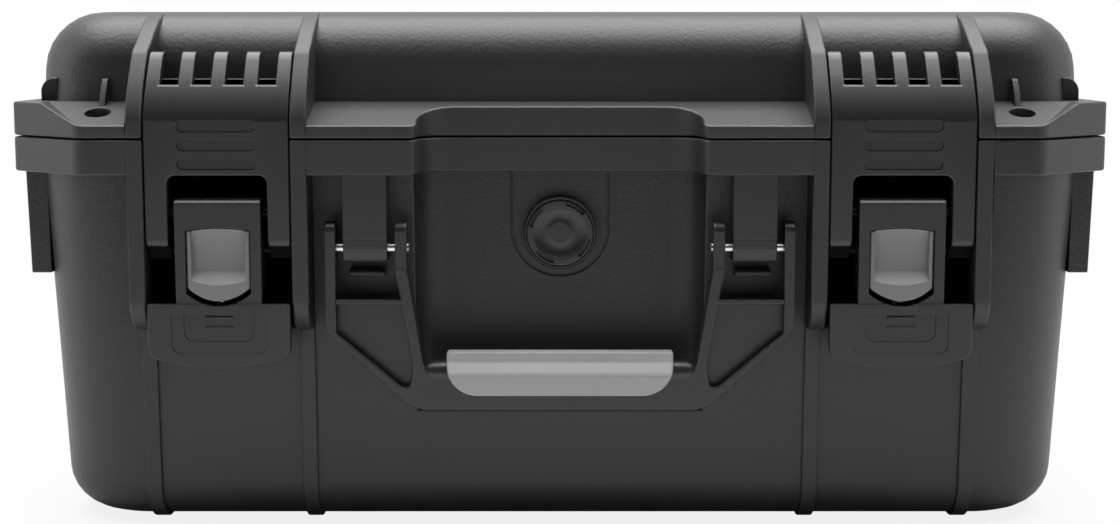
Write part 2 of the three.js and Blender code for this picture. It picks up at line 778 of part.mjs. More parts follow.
function makeClaw() {
  const back = clawInset + clawWall;
  const tip = frontLean(clawTipHeight) + clawInset;
  const slotFoot = fingerSlotBottom - clawTipThickness;
  const profile = [
    [clawInset, legChamfer - clawLegDrop],
    ...frontLeanPoints(clawTipHeight, clawInset),
    [tip + clawTipReach, clawTipHeight],
    [tip + clawTipReach, clawTipHeight - clawTipThickness],
    [frontLean(fingerSlotBottom) + back, fingerSlotBottom],
    [frontLean(slotFoot) + back, slotFoot],
    [back, ribKnee],
    [back, -clawLegDrop],
    [clawInset + legChamfer / 2, -clawLegDrop],
  ];
  const plate = prismX(profile, -clawHalf, clawHalf);
  const fingerWidth = (2 * clawHalf - (fingerCount - 1) * fingerSlotWidth) / fingerCount;
  const slots = [];
  for (let i = 0; i + 1 < fingerCount; i += 1) {
    const from = (i + 1) * fingerWidth + i * fingerSlotWidth - clawHalf;
    slots.push(block([from, from + fingerSlotWidth], [0, lidFrontInset], [fingerSlotBottom, lidHeight]));
  }
  const half = windowWidth / 2;
  const windowArc = -windowTopDrop - windowRadius;
  const window = new THREE.Shape();
  window.moveTo(-half, -clawLegDrop - overrun);
  window.lineTo(half, -clawLegDrop - overrun);
  window.absarc(half - windowRadius, windowArc, windowRadius, 0, Math.PI / 2, false);
  window.absarc(windowRadius - half, windowArc, windowRadius, Math.PI / 2, Math.PI, false);
  const grooves = [];
  for (let i = 0; i < grooveCount; i += 1) {
    const z = (1 - i) * groovePitch - grooveMiddleDrop;
    grooves.push(prismY(pillOutline(grooveLength, grooveWidth, z), -overrun, clawInset + grooveDeep));
  }
  const eyeOutline = new THREE.Shape();
  eyeOutline.absarc(clawPinDepth, -clawPinDrop, eyeRadius, -Math.PI / 2, Math.PI / 2, false);
  eyeOutline.lineTo(back - overrun, -clawPinDrop + eyeRadius * 2);
  eyeOutline.lineTo(back - overrun, -clawLegDrop);
  const eyes = [-1, 1].map((side) => {
    const from = Math.min(side * half, side * clawHalf);
    return prismX(eyeOutline, from, from + clawHalf - half);
  });
  const bore = rodX(clawPinDepth, -clawPinDrop, pinRadius + pinPlay, -bayHalf, bayHalf);
  return cut(join(cut(plate, ...slots, prismY(window, -overrun, lidFrontInset), ...grooves), ...eyes), bore);
}

// The button's outline, and with a play the window round it; the window also leaves room for its travel
function buttonOutline(play, travel) {
  const half = buttonWidth / 2 + play;
  const top = -buttonTopDrop + play;
  const bottom = -buttonBottomDrop - play - travel;
  const outline = new THREE.Shape();
  outline.moveTo(-half, top - buttonTopSag);
  outline.lineTo(-half, bottom + buttonBottomSag);
  outline.quadraticCurveTo(0, bottom - buttonBottomSag, half, bottom + buttonBottomSag);
  outline.lineTo(half, top - buttonTopSag);
  outline.quadraticCurveTo(0, top + buttonTopSag, -half, top - buttonTopSag);
  return outline;
}

function steppedOutline(half, drop) {
  const outline = new THREE.Shape();
  outline.moveTo(-half, -stepTopDrop);
  outline.lineTo(-half, stepRadius - drop);
  outline.absarc(stepRadius - half, stepRadius - drop, stepRadius, Math.PI, 1.5 * Math.PI, false);
  outline.absarc(half - stepRadius, stepRadius - drop, stepRadius, 1.5 * Math.PI, 2 * Math.PI, false);
  outline.lineTo(half, -stepTopDrop);
  return outline;
}

function makeLever() {
  const half = leverWidth / 2;
  const inner = half - leverCheekWall;
  const side = [[0, -leverTopDrop], [0, -flapTopDrop - overrun], [leverFaceWall, -flapTopDrop - overrun],
    [leverDeep, -leverCheekDrop], [leverDeep, -leverTopDrop - leverTopWall],
    [leverDeep - leverTopWall, -leverTopDrop]];
  const channel = block([-inner, inner], [leverFaceWall, leverDeep + overrun],
    [-flapTopDrop, -leverTopDrop - leverTopWall]);
  const neck = cut(prismX(side, -half, half), channel);
  const flapHalf = flapWidth / 2;
  const flapOutline = new THREE.Shape();
  flapOutline.moveTo(-flapHalf, -flapTopDrop);
  flapOutline.lineTo(-flapHalf, -flapSideDrop);
  flapOutline.quadraticCurveTo(-flapHalf, -flapCornerDrop, -flapHalf + flapCornerInset, -flapCornerDrop);
  flapOutline.quadraticCurveTo(0, flapCornerDrop - 2 * flapBottomDrop, flapHalf - flapCornerInset,
    -flapCornerDrop);
  flapOutline.quadraticCurveTo(flapHalf, -flapCornerDrop, flapHalf, -flapSideDrop);
  flapOutline.lineTo(flapHalf, -flapTopDrop);
  const flap = prismY(flapOutline, -flapProud, flapWall - flapProud);
  const steps = [[outerStepHalf, outerStepDrop], [innerStepHalf, innerStepDrop]].map(([x, drop], level) =>
    prismY(steppedOutline(x, drop), -flapProud - overrun, (level + 1) * stepDeep - flapProud));
  const bars = [];
  for (let i = 0; i < barCount; i += 1) {
    const top = -flapTopDrop - barTopGap - i * barPitch;
    bars.push(block([-barLength / 2, barLength / 2], [stepDeep - flapProud, 0], [top - barHeight, top]));
  }
  const seat = block([-springSeatWidth / 2, springSeatWidth / 2], [0, springBack],
    [-springSeatDrop - springSeatWall, -springSeatDrop]);
  const window = prismY(buttonOutline(buttonPlay, buttonTravel), -flapProud - overrun,
    leverFaceWall + overrun);
  const bores = [[leverPinDepth, leverPinDrop], [clawPinDepth, clawPinDrop]].map(([y, drop]) =>
    rodX(y, -drop, pinRadius + pinPlay, -half - overrun, half + overrun));
  return cut(join(neck, cut(flap, ...steps), ...bars, seat), window, ...bores);
}

const plateFront = leverFaceWall + buttonPlateGap;
const faceBack = plateFront + buttonPlateWall / 2;
const springDepth = faceBack + springGap + springRadius + springWireRadius;
const springBack = springDepth + springRadius + springWireRadius;

function makeButton() {
  const scoop = [[-overrun, -ledgeDrop], [scoopDeep, -ledgeDrop], [0, -buttonScoopTopDrop],
    [-overrun, -buttonScoopTopDrop]];
  const face = cut(prismY(buttonOutline(0, 0), 0, faceBack), prismX(scoop, -buttonWidth, buttonWidth));
  const bulgeHalf = buttonWidth / 2 - ledgeProud;
  const bulge = prismX([[0, -ledgeDrop], [-ledgeProud, -ledgeDrop],
    [-ledgeProud, ledgeProud - buttonPlateBottomDrop], [0, -buttonPlateBottomDrop]], -bulgeHalf, bulgeHalf);
  const plate = block([-buttonPlateWidth / 2, buttonPlateWidth / 2],
    [plateFront, plateFront + buttonPlateWall], [-buttonPlateBottomDrop, -buttonTopDrop]);
  const lug = block([-springLugWidth / 2, springLugWidth / 2], [plateFront, springBack],
    [-buttonPlateBottomDrop, springLugHeight - buttonPlateBottomDrop]);
  return join(face, bulge, plate, lug);
}

// A coil under the button's plate, standing on the lever's seat
function makeSpring() {
  const bottom = -springSeatDrop + springGap + springWireRadius;
  const top = -buttonPlateBottomDrop - springGap - springWireRadius;
  class Coil extends THREE.Curve {
    getPoint(t, target = new THREE.Vector3()) {
      const angle = t * springTurns * 2 * Math.PI;
      return target.set(springRadius * Math.cos(angle), springDepth + springRadius * Math.sin(angle),
        bottom + (top - bottom) * t);
    }
  }
  const section = [];
  for (let i = 0; i < coilSides; i += 1) {
    const angle = (i / coilSides) * 2 * Math.PI;
    section.push(new THREE.Vector2(springWireRadius * Math.cos(angle), springWireRadius * Math.sin(angle)));
  }
  const wire = new THREE.ExtrudeGeometry(new THREE.Shape(section), {
    steps: springTurns * coilSteps, extrudePath: new Coil(), bevelEnabled: false,
  });
  return solidOf(wire);
}

function makeLatch(side) {
  const latch = new THREE.Group();
  latch.position.x = side === 'left' ? -latchCentre : latchCentre;
  const bayOuter = bayHalf + ribWidth;
  const eyeMiddle = (windowWidth / 2 + clawHalf) / 2;
  latch.add(
    meshOf(`latch_claw_${side}`, makeClaw(), darkGloss),
    meshOf(`latch_lever_${side}`, makeLever(), darkGloss),
    meshOf(`latch_button_${side}`, makeButton(), grey),
    meshOf(`button_spring_${side}`, makeSpring(), steel),
    meshOf(`lever_pin_${side}`, rodX(leverPinDepth, -leverPinDrop, pinRadius, -bayOuter, bayOuter), steel),
    meshOf(`claw_pin_${side}`, rodX(clawPinDepth, -clawPinDrop, pinRadius, -eyeMiddle, eyeMiddle), steel),
  );
  return latch;
}

// Handle
function mirroredOutline(points, side) {
  return points.map(([x, z]) => [side * x, z]);
}

function bracket(side) {
  const arm = (from, to, foot) => {
    const top = -armTopDrop - armTopRadius;
    const outline = new THREE.Shape();
    outline.moveTo(handleFront, -foot);
    outline.lineTo(handleBack, -foot);
    outline.absarc(handleBack - armTopRadius, top, armTopRadius, 0, Math.PI / 2, false);
    outline.absarc(handleFront + armTopRadius, top, armTopRadius, Math.PI / 2, Math.PI, false);
    return prismX(outline, Math.min(side * from, side * to), Math.max(side * from, side * to));
  };
  const plate = mirroredOutline([
    [outerArmOuter, -crossbarDrop], [innerArmFootX, -crossbarDrop], [0, -barTopDrop], [0, -frameBottomDrop],
    [frameBottomX, -frameBottomDrop], [frameHeelX, -frameHeelDrop], [outerArmOuter, -outerArmBendDrop],
  ], side);
  const innerEdge = mirroredOutline([
    [innerArmInner, -innerArmBendDrop], [0, -innerArmBendDrop], [0, -barTopDrop], [barTopX, -barTopDrop],
    [armFilletX, -armFilletDrop], [innerArmFootX, -innerArmFootDrop],
  ], side);
  const upper = mirroredOutline([
    [innerArmOuter, -innerArmBendDrop + overrun], [innerArmInner, -innerArmBendDrop + overrun],
    [innerArmInner, -innerArmBendDrop], [innerArmFootX, -innerArmFootDrop],
    [innerArmFootX + rimWall, -innerArmFootDrop], [innerArmOuter, -innerArmBendDrop],
  ], side);
  const slant = (innerArmInner - innerArmFootX) / (innerArmFootDrop - innerArmBendDrop);
  const innerAt = (drop) => innerArmInner - (drop - innerArmBendDrop) * slant + rimWall;
  const pocketTop = crossbarDrop + crossbarWall;
  const pocket = mirroredOutline([
    [outerArmInner, -pocketTop], [innerAt(pocketTop), -pocketTop],
    [innerAt(innerArmFootDrop), -innerArmFootDrop], [pocketCutX, -pocketHeelDrop],
    [pocketHeelX, -pocketHeelDrop], [outerArmInner, -pocketBendDrop],
  ], side);
  const solid = join(
    cut(prismY(plate, handleFront, handleBack),
      prismY(innerEdge, handleFront - overrun, handleBack + overrun)),
    prismY(upper, handleFront, handleBack), arm(outerArmInner, outerArmOuter, crossbarDrop + overrun),
    arm(innerArmInner, innerArmOuter, innerArmBendDrop));
  return cut(solid, prismY(pocket, handleFront - overrun, handleBack - pocketFloorWall));
}

// The tongue of the bar that the grip is moulded over, grown by a fit for the grip's slot
function gripCore(half, fit) {
  return block([-half, half], [coreFront - fit, coreBack + fit], [-frameBottomDrop, fit - coreTopDrop]);
}

function makeHandleFrame() {
  const pinBore = rodX(handlePinDepth, -handlePinDrop, handlePinRadius + pinPlay, -outerArmOuter - overrun,
    outerArmOuter + overrun);
  return cut(join(bracket(-1), bracket(1), gripCore(gripHalf - gripFit, 0)), pinBore);
}

function makeGrip() {
  const front = new THREE.Shape();
  const cornerX = gripHalf - gripCornerRadius;
  const cornerZ = gripCornerRadius - gripBottomDrop;
  front.moveTo(-gripHalf, -gripTopDrop);
  front.lineTo(-gripHalf, cornerZ);
  front.absarc(-cornerX, cornerZ, gripCornerRadius, Math.PI, 1.5 * Math.PI, false);
  front.absarc(cornerX, cornerZ, gripCornerRadius, 1.5 * Math.PI, 2 * Math.PI, false);
  front.lineTo(gripHalf, -gripTopDrop);
  const profile = [
    [gripFront, -gripBottomDrop], [gripBack, -gripBottomDrop], [gripBack, -gripShoulderDrop],
    [gripBack - gripShoulder, -gripTopDrop - gripCrown], [gripBack - gripBevel, -gripTopDrop],
    [gripFront + gripBevel, -gripTopDrop], [gripFront + gripShoulder, -gripTopDrop - gripCrown],
    [gripFront, -gripShoulderDrop],
  ];
  const bar = block([-caseWidth, caseWidth], [handleFront - gripFit, handleBack + gripFit],
    [-frameBottomDrop - overrun, -barTopDrop + gripFit]);
  const body = prismY(front, gripFront - overrun, gripBack + overrun)
    .intersect(prismX(profile, -gripHalf - overrun, gripHalf + overrun));
  return cut(body, bar, gripCore(gripHalf + overrun, gripFit));
}

function makeHandlePin(side) {
  const near = side * (innerArmInner - handlePinEnd);
  const far = side * (outerArmOuter + handlePinEnd / 2);
  return rodX(handlePinDepth, -handlePinDrop, handlePinRadius, Math.min(near, far), Math.max(near, far));
}

// Pressure vent, turned about its axis in the grip well; profiles give radius and depth
function turned(profile) {
  const points = profile.map(([radius, depth]) => new THREE.Vector2(radius, depth));
  const lathe = new THREE.LatheGeometry([...points, points[0]], ventSteps);
  return solidOf(lathe.translate(0, 0, -ventDrop));
}

const ventBack = gripWellDepth - ventSealWall - ventFit;
const ventFront = ventBack - ventStand;
const stemEnd = gripWellDepth + wall + ventStemEnd;

function makeVentBody() {
  const floor = ventFront + ventCupDepth;
  const seat = membraneRadius + ventFit;
  const seatFloor = floor + membraneWall + ventFit;
  return turned([[ventBore, seatFloor], [seat, seatFloor], [seat, floor],
    [ventRadius - ventCapLip, floor], [ventRadius - ventCapLip, ventFront], [ventRadius, ventFront],
    [ventRadius, ventBack], [ventStemRadius, ventBack], [ventStemRadius, stemEnd], [ventBore, stemEnd]]);
}

function makeVentCap() {
  const rim = ventRadius - ventCapLip - ventFit;
  const front = ventFront - ventCapWall / 2;
  const back = front + ventCapWall;
  const dish = ventSlotRadius - ventSlotWidth;
  const cap = turned([[0, back], [0, front], [dish / 2, front], [dish, front + ventCapWall / 3],
    [dish + ventSlotWidth / 3, front], [rim, front], [rim, back]]);
  const slots = [];
  for (let i = 0; i < ventSlotCount; i += 1) {
    const middle = ventSlotTurn + (i / ventSlotCount) * 2 * Math.PI;
    const start = middle - ventSlotAngle / 2;
    const end = middle + ventSlotAngle / 2;
    const arc = new THREE.Shape();
    arc.absarc(0, 0, ventSlotRadius + ventSlotWidth / 2, start, end, false);
    arc.absarc(0, 0, ventSlotRadius - ventSlotWidth / 2, end, start, true);
    slots.push(prismY(arc, front - overrun, back + overrun).translate(0, 0, -ventDrop));
  }
  return cut(cap, ...slots);
}

function makeMembrane() {
  const floor = ventFront + ventCupDepth + membraneWall + ventFit;
  return rodY(0, -ventDrop, membraneRadius, floor - membraneWall, floor, ventSteps);
}

function makeVentNut() {
  const from = gripWellDepth + wall + ventFit;
  return cut(rodY(0, -ventDrop, ventNutRadius, from, from + ventNutWall, ventNutSides),
    rodY(0, -ventDrop, ventStemRadius + ventFit, from - overrun, from + ventNutWall + overrun, ventSteps));
}

function makeVentSeal() {
  const middle = gripWellDepth - ventFit / 2;
  return turned([[ventSealInner, middle - ventSealWall], [ventSealOuter, middle - ventSealWall],
    [ventSealOuter, middle], [ventSealInner, middle]]);
}

// Foam
function makeBaseFoam() {
  const inset = wall + foamFit;
  const top = -foamTopDrop;
  const solid = cut(baseBody(inset, top), gripWell(inset, -gripWellDrop - inset, overrun),
    bayWells(inset, -ribDrop - inset, overrun));
  const pitch = slabLength + channelDivider;
  const floor = -baseHeight + footHeight + inset + channelFloor;
  const channels = [];
  for (let i = 0; i < channelCount; i += 1) {
    const x = (i - (channelCount - 1) / 2) * pitch;
    channels.push(block([x - slabLength / 2, x + slabLength / 2],
      [channelFront, caseDepth - channelBackInset], [floor, overrun]));
  }
  const reliefHalf = ventNutRadius + reliefFit;
  const relief = block([-reliefHalf, reliefHalf], [gripWellDepth, stemEnd + reliefFit],
    [-ventDrop - reliefHalf, overrun]);
  return cut(solid, ...channels, relief);
}

function makeLidFoam() {
  const top = lidHeight - wall - foamFit;
  return lidBody(wall + foamFit, -overrun).intersect(block([-caseWidth, caseWidth], [0, caseDepth],
    [top - lidFoamHeight, lidHeight]));
}

function makeHingePin(x) {
  return rodX(hingeDepth, 0, hingePinRadius, x - hingeWidth / 2, x + hingeWidth / 2);
}

// The whole case stands on its feet, with its box centred over the origin
const model = new THREE.Group();
model.add(
  meshOf('base_shell', makeBaseShell(), black),
  meshOf('lid_shell', makeLidShell(), black),
  meshOf('lid_seal', makeLidSeal(), rubber),
  meshOf('base_foam', makeBaseFoam(), foamLook),
  meshOf('lid_foam', makeLidFoam(), foamLook),
  meshOf('hinge_pin_left', makeHingePin(-latchCentre), steel),
  meshOf('hinge_pin_right', makeHingePin(latchCentre), steel),
  makeLatch('left'),
  makeLatch('right'),
  meshOf('handle_frame', makeHandleFrame(), darkGloss),
  meshOf('handle_grip', makeGrip(), grey),
  meshOf('handle_pin_left', makeHandlePin(-1), steel),
  meshOf('handle_pin_right', makeHandlePin(1), steel),
  meshOf('vent_body', makeVentBody(), black),
  meshOf('vent_cap', makeVentCap(), darkGloss),
  meshOf('vent_membrane', makeMembrane(), rubber),
  meshOf('vent_nut', makeVentNut(), darkGloss),
  meshOf('vent_seal', makeVentSeal(), rubber),
);
const modelBox = new THREE.Box3().setFromObject(model);
model.position.set(0, -(modelBox.min.y + modelBox.max.y) / 2, -modelBox.min.z);

export default model;
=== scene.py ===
from math import atan2, cos, hypot, pi, radians, sin, tan

import bmesh
import bpy
from mathutils import Matrix, Vector


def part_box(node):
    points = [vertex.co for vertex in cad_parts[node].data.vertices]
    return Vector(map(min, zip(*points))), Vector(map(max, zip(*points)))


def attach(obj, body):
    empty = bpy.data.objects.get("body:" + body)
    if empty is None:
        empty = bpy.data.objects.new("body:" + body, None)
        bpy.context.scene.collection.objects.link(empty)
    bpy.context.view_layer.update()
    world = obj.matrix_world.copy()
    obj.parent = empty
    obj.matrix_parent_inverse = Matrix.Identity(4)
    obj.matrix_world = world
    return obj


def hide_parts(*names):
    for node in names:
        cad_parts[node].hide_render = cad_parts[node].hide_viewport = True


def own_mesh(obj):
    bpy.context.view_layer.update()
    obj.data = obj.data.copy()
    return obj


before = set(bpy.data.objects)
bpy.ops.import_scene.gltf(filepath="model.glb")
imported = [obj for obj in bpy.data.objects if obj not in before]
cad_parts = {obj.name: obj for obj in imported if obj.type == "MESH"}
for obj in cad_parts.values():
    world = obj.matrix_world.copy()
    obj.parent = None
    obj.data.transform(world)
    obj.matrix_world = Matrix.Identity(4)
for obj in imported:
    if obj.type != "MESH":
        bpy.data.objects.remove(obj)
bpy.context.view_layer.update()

# The photograph's viewpoint: a little above the case and square to its front, looking slightly down, with plain
# soft studio light over a pale floor.
camera_distance = 0.600
camera_over_rim = 0.0328
camera_pitch = 7
camera_lens = 57.86
camera_film = 36

rim_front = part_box("base_shell")[0].y
parting_level = 0.1367


def linked(name, data):
    thing = bpy.data.objects.new(name, data)
    bpy.context.collection.objects.link(thing)
    return thing


camera = linked("camera", bpy.data.cameras.new("camera"))
camera.data.lens = camera_lens
camera.data.sensor_width = camera_film
camera.location = (0, rim_front - camera_distance, parting_level + camera_over_rim)
camera.rotation_euler = (radians(90 - camera_pitch), 0, 0)
bpy.context.scene.camera = camera
bpy.context.scene.view_settings.view_transform = "Standard"


class Wire:
    """An output in a node tree. Python's operators on it add that tree's Math nodes."""

    def __init__(self, nodes, socket):
        self.nodes = nodes
        self.socket = socket

    def math(self, operation, *others):
        return self.nodes.math(operation, self, *others)

    def __add__(self, other): return self.math("ADD", other)
    def __radd__(self, other): return self.nodes.math("ADD", other, self)
    def __sub__(self, other): return self.math("SUBTRACT", other)
    def __rsub__(self, other): return self.nodes.math("SUBTRACT", other, self)
    def __mul__(self, other): return self.math("MULTIPLY", other)
    def __rmul__(self, other): return self.nodes.math("MULTIPLY", other, self)
    def __truediv__(self, other): return self.math("DIVIDE", other)
    def __gt__(self, other): return self.math("GREATER_THAN", other)
    def __abs__(self): return self.math("ABSOLUTE")


class Nodes:
    """Fills one node tree: add() makes any node from its type, its sockets' values or wires, and its settings."""

    def __init__(self, tree):
        self.tree = tree

    def add(self, kind, inputs=None, output=0, **settings):
        node = self.tree.nodes.new(kind)
        for name, value in settings.items():
            setattr(node, name, value)
        for name, value in (inputs or {}).items():
            if isinstance(value, Wire):
                self.tree.links.new(value.socket, node.inputs[name])
            else:
                node.inputs[name].default_value = value
        if isinstance(output, tuple):
            return [Wire(self, node.outputs[name]) for name in output]
        return Wire(self, node.outputs[output])

    def math(self, operation, *values):
        return self.add("ShaderNodeMath", dict(enumerate(values)), operation=operation)

    def parts(self, vector):
        return self.add("ShaderNodeSeparateXYZ", {0: vector}, ("X", "Y", "Z"))

    def mapped(self, value, start, end, low=0, high=1):
        """The value between start and end, carried over to low and high."""
        return self.add("ShaderNodeMapRange", {
            "Value": value, "From Min": start, "From Max": end, "To Min": low, "To Max": high})

    def tint(self, share, first, second):
        """A colour between two others."""
        first, second = (colour if isinstance(colour, Wire) else (*colour, 1) for colour in (first, second))
        return self.add("ShaderNodeMix", {0: share, 6: first, 7: second}, output=2, data_type="RGBA")

    def noise(self, place, scale, detail, output=0):
        return self.add("ShaderNodeTexNoise", {"Vector": place, "Scale": scale, "Detail": detail}, output)

    def principled(self, colour, height, relief, strength=1, **inputs):
        bump = self.add("ShaderNodeBump", {"Strength": strength, "Distance": relief, "Height": height})
        inputs = {name.replace("_", " "): value for name, value in inputs.items()}
        return self.add("ShaderNodeBsdfPrincipled", {"Base Color": colour, "Normal": bump, **inputs})

    def surface(self, shader, kind="ShaderNodeOutputMaterial"):
        self.add(kind, {"Surface": shader}, output=())


def grey(level):
    return level, level, level, 1


def empty_tree(owner):
    owner.use_nodes = True
    owner.node_tree.nodes.clear()
    return Nodes(owner.node_tree)


world = bpy.data.worlds.new("studio")
bpy.context.scene.world = world
studio = empty_tree(world)
fill_strength = 0.16
# What the case mirrors is a room that is dark in front of it and white behind it.
facing = studio.parts(studio.add("ShaderNodeTexCoord", output="Generated"))[1]
mirrored_room = studio.mapped(facing, -0.6, 0, 0.05, 1)
camera_ray, glossy_ray, clear_ray = studio.add(
    "ShaderNodeLightPath", output=("Is Camera Ray", "Is Glossy Ray", "Is Transmission Ray"))
sky_strength = fill_strength + (1 - fill_strength) * (camera_ray + clear_ray) + (
    mirrored_room - fill_strength) * glossy_ray
studio.surface(studio.add("ShaderNodeBackground", {"Color": grey(1), "Strength": sky_strength}),
               "ShaderNodeOutputWorld")

floor_half = 6
floor_mesh = bpy.data.meshes.new("floor")
floor_mesh.from_pydata([(floor_half * x, floor_half * y, 0) for x, y in ((-1, -1), (1, -1), (1, 1), (-1, 1))],
                       [], [(0, 1, 2, 3)])
floor = linked("floor", floor_mesh)
floor_finish = bpy.data.materials.new("pale floor")
paint = empty_tree(floor_finish)
floor_white = paint.add("ShaderNodeEmission", {"Color": grey(1), "Strength": 1})
floor_grey = paint.add("ShaderNodeBsdfDiffuse", {"Color": grey(0.8)})
from_case = paint.add("ShaderNodeVectorMath", {0: paint.add("ShaderNodeTexCoord", output="Object")},
                      output="Value", operation="LENGTH")
floor_camera, floor_glossy = paint.add("ShaderNodeLightPath", output=("Is Camera Ray", "Is Glossy Ray"))
# The camera and mirrors see the floor as white further out. Close to the case it is lit, and keeps the shadow.
white_share = floor_camera * paint.mapped(from_case, 0.25, 0.8, 0.85, 1) + floor_glossy * paint.mapped(
    from_case, 0.2, 0.9)
paint.surface(paint.add("ShaderNodeMixShader", {0: white_share, 1: floor_grey, 2: floor_white}))
floor_mesh.materials.append(floor_finish)


def softbox(name, place, aim, width, height, power):
    light = bpy.data.lights.new(name, "AREA")
    light.shape = "RECTANGLE"
    light.size = width
    light.size_y = height
    light.energy = power
    lamp = linked(name, light)
    lamp.location = place
    lamp.rotation_euler = (Vector(aim) - Vector(place)).to_track_quat("-Z", "Y").to_euler()


softbox("overhead", (0, 0.05, 1.25), (0, 0.02, 0.1), 1.9, 1.1, 43)
softbox("left", (-1.1, -0.1, 0.35), (0, 0, 0.08), 0.4, 0.8, 1.6)
softbox("right", (1.1, -0.1, 0.35), (0, 0, 0.08), 0.4, 0.8, 1.2)

# Moulded black plastic of both shells. Its tooling leaves a leather grain on the walls, which fades out on the
# rim flanges, and every edge has a small moulded radius. Shapes are drawn in millimetres from the rim's front edge
# (depth) and the parting plane (height), and case_frame puts them in their place in metres.
case_frame = Matrix.Translation((0, rim_front, parting_level)) @ Matrix.Scale(0.001, 4)
latch_centre = 114.9
latch_places = {"left": -latch_centre, "right": latch_centre}
# Where near-black painted shade goes in the rooms behind the latches: half width and heights in millimetres, depths
# in metres.
painted_shade_half = 25.1
painted_shade_low = -65.5
painted_shade_high = 19.7
painted_shade_depth = (0.004, 0.0149)
leather = 0.0013
black = (0.012, 0.012, 0.0123)


def finish_of(name):
    material = bpy.data.materials.new(name)
    nodes = empty_tree(material)
    return material, nodes, nodes.add("ShaderNodeTexCoord", output="Object")


def painted_bay_shade(nodes, place):
    """1 in the rooms behind the latches, where a near-black painted shade is mixed in, and 0 in front of them."""
    across, depth, height = nodes.parts(place)
    off_latch = abs(abs(across) - latch_centre / 1000)
    behind = nodes.mapped(depth, *(rim_front + edge for edge in painted_shade_depth))
    return behind * (1 - (off_latch > painted_shade_half / 1000)) * (
        height > parting_level + painted_shade_low / 1000) * (
        1 - (height > parting_level + painted_shade_high / 1000)) * (1 - (depth > 0))


def moulded(name, colour, roughness, grain, relief, band=None, specular=0.5, mottle=0.15, paints_bay_shade=False):
    """Plastic with a leather grain of a size and relief in metres. A band of heights keeps a finer surface, and with
    paints_bay_shade a near-black painted shade is mixed in, in the rooms behind the latches."""
    material, nodes, place = finish_of(name)
    swirl = nodes.noise(place, 0.3 / grain, 2, "Color")
    swirl = nodes.add("ShaderNodeVectorMath", {0: swirl, "Scale": grain * 1.2}, operation="SCALE")
    bent = nodes.add("ShaderNodeVectorMath", {0: place, 1: swirl}, operation="ADD")
    pebbles = nodes.add("ShaderNodeTexVoronoi", {"Vector": bent, "Scale": 1 / grain, "Randomness": 1},
                        output="Distance", feature="SMOOTH_F1")
    pores = nodes.noise(place, 2.2 / grain, 3)
    relief_map = pebbles * 0.75 + pores * 0.5
    if band:
        middle = (band[0] + band[1]) / 2
        half = (band[1] - band[0]) / 2
        relief_map = relief_map * nodes.mapped(abs(nodes.parts(place)[2] - middle), half, half + 0.002, 0.35, 1)
    mottled = nodes.tint(nodes.noise(place, 14, 3),
                         *([part * share for part in colour] for share in (1 - mottle, 1 + mottle)))
    plastic = nodes.principled(mottled, relief_map, relief, Roughness=roughness + (pores - 0.5) * 0.16,
                               Specular_IOR_Level=specular)
    # Painted shade: a near-black diffuse is mixed in deep in the latch bays, standing in for the shade there.
    if paints_bay_shade:
        shade_paint = nodes.add("ShaderNodeBsdfDiffuse", {"Color": grey(0.0015)})
        plastic = nodes.add("ShaderNodeMixShader", {0: painted_bay_shade(nodes, place), 1: plastic, 2: shade_paint})
    nodes.surface(plastic)
    return material


shell_plastic = moulded("black shell plastic", black, 0.46, leather, 0.00010, specular=0.52,
                        band=(parting_level - 0.013, parting_level + 0.0125), paints_bay_shade=True)
rim_plastic = moulded("smooth rim plastic", black, 0.50, leather, 0.00003, specular=0.55,
                      paints_bay_shade=True)


def rounded(corners, steps=6):
    """An outline whose corners are (u, v), or (u, v, radius) where the corner is rounded."""
    outline = []
    for i, corner in enumerate(corners):
        here = Vector(corner[:2])
        if len(corner) < 3 or not corner[2]:
            outline.append(tuple(here))
            continue
        back = (Vector(corners[i - 1][:2]) - here).normalized()
        ahead = (Vector(corners[(i + 1) % len(corners)][:2]) - here).normalized()
        half = back.angle(ahead) / 2
        centre = here + (back + ahead).normalized() * corner[2] / sin(half)
        start = here + back * corner[2] / tan(half) - centre
        end = here + ahead * corner[2] / tan(half) - centre
        first = atan2(start.y, start.x)
        turn = (atan2(end.y, end.x) - first + pi) % (2 * pi) - pi
        for k in range(steps + 1):
            angle = first + turn * k / steps
            outline.append((centre.x + corner[2] * cos(angle), centre.y + corner[2] * sin(angle)))
    return outline


def both_sides(half, middle=()):
    """An outline and its mirror image, round the middle."""
    return [*half, *middle, *((-u, *rest) for u, *rest in reversed(half))]


def prism(axis, outline, start, end):
    """A solid along an axis; its outline is in the other two axes, in X, Y, Z order."""
    place = {"X": lambda u, v, s: (s, u, v), "Y": lambda u, v, s: (u, s, v), "Z": lambda u, v, s: (u, v, s)}[axis]
    solid = bmesh.new()
    near, far = ([solid.verts.new(place(u, v, s)) for u, v in outline] for s in (start, end))
    solid.faces.new(near)
    solid.faces.new(far)
    for i in range(len(outline)):
        solid.faces.new((near[i - 1], near[i], far[i], far[i - 1]))
    bmesh.ops.recalc_face_normals(solid, faces=solid.faces)
    return solid


def box_of(x, depth, height):
    return prism("X", [(depth[0], height[0]), (depth[1], height[0]), (depth[1], height[1]), (depth[0], height[1])],
                 *x)


def disc(centre, radius, steps=32):
    return [(centre[0] + radius * cos(2 * pi * k / steps), centre[1] + radius * sin(2 * pi * k / steps))
            for k in range(steps)]


def bore(place, radius, start, end):
    return prism("X", disc(place, radius, 24), start, end)


def gathered(*solids):
    whole = bmesh.new()
    for solid in solids:
        mesh = bpy.data.meshes.new("part")
        solid.to_mesh(mesh)
        whole.from_mesh(mesh)
        bpy.data.meshes.remove(mesh)
    return whole


def shifted(solid, x=0, y=0, z=0):
    bmesh.ops.translate(solid, verts=solid.verts, vec=(x, y, z))
    return solid


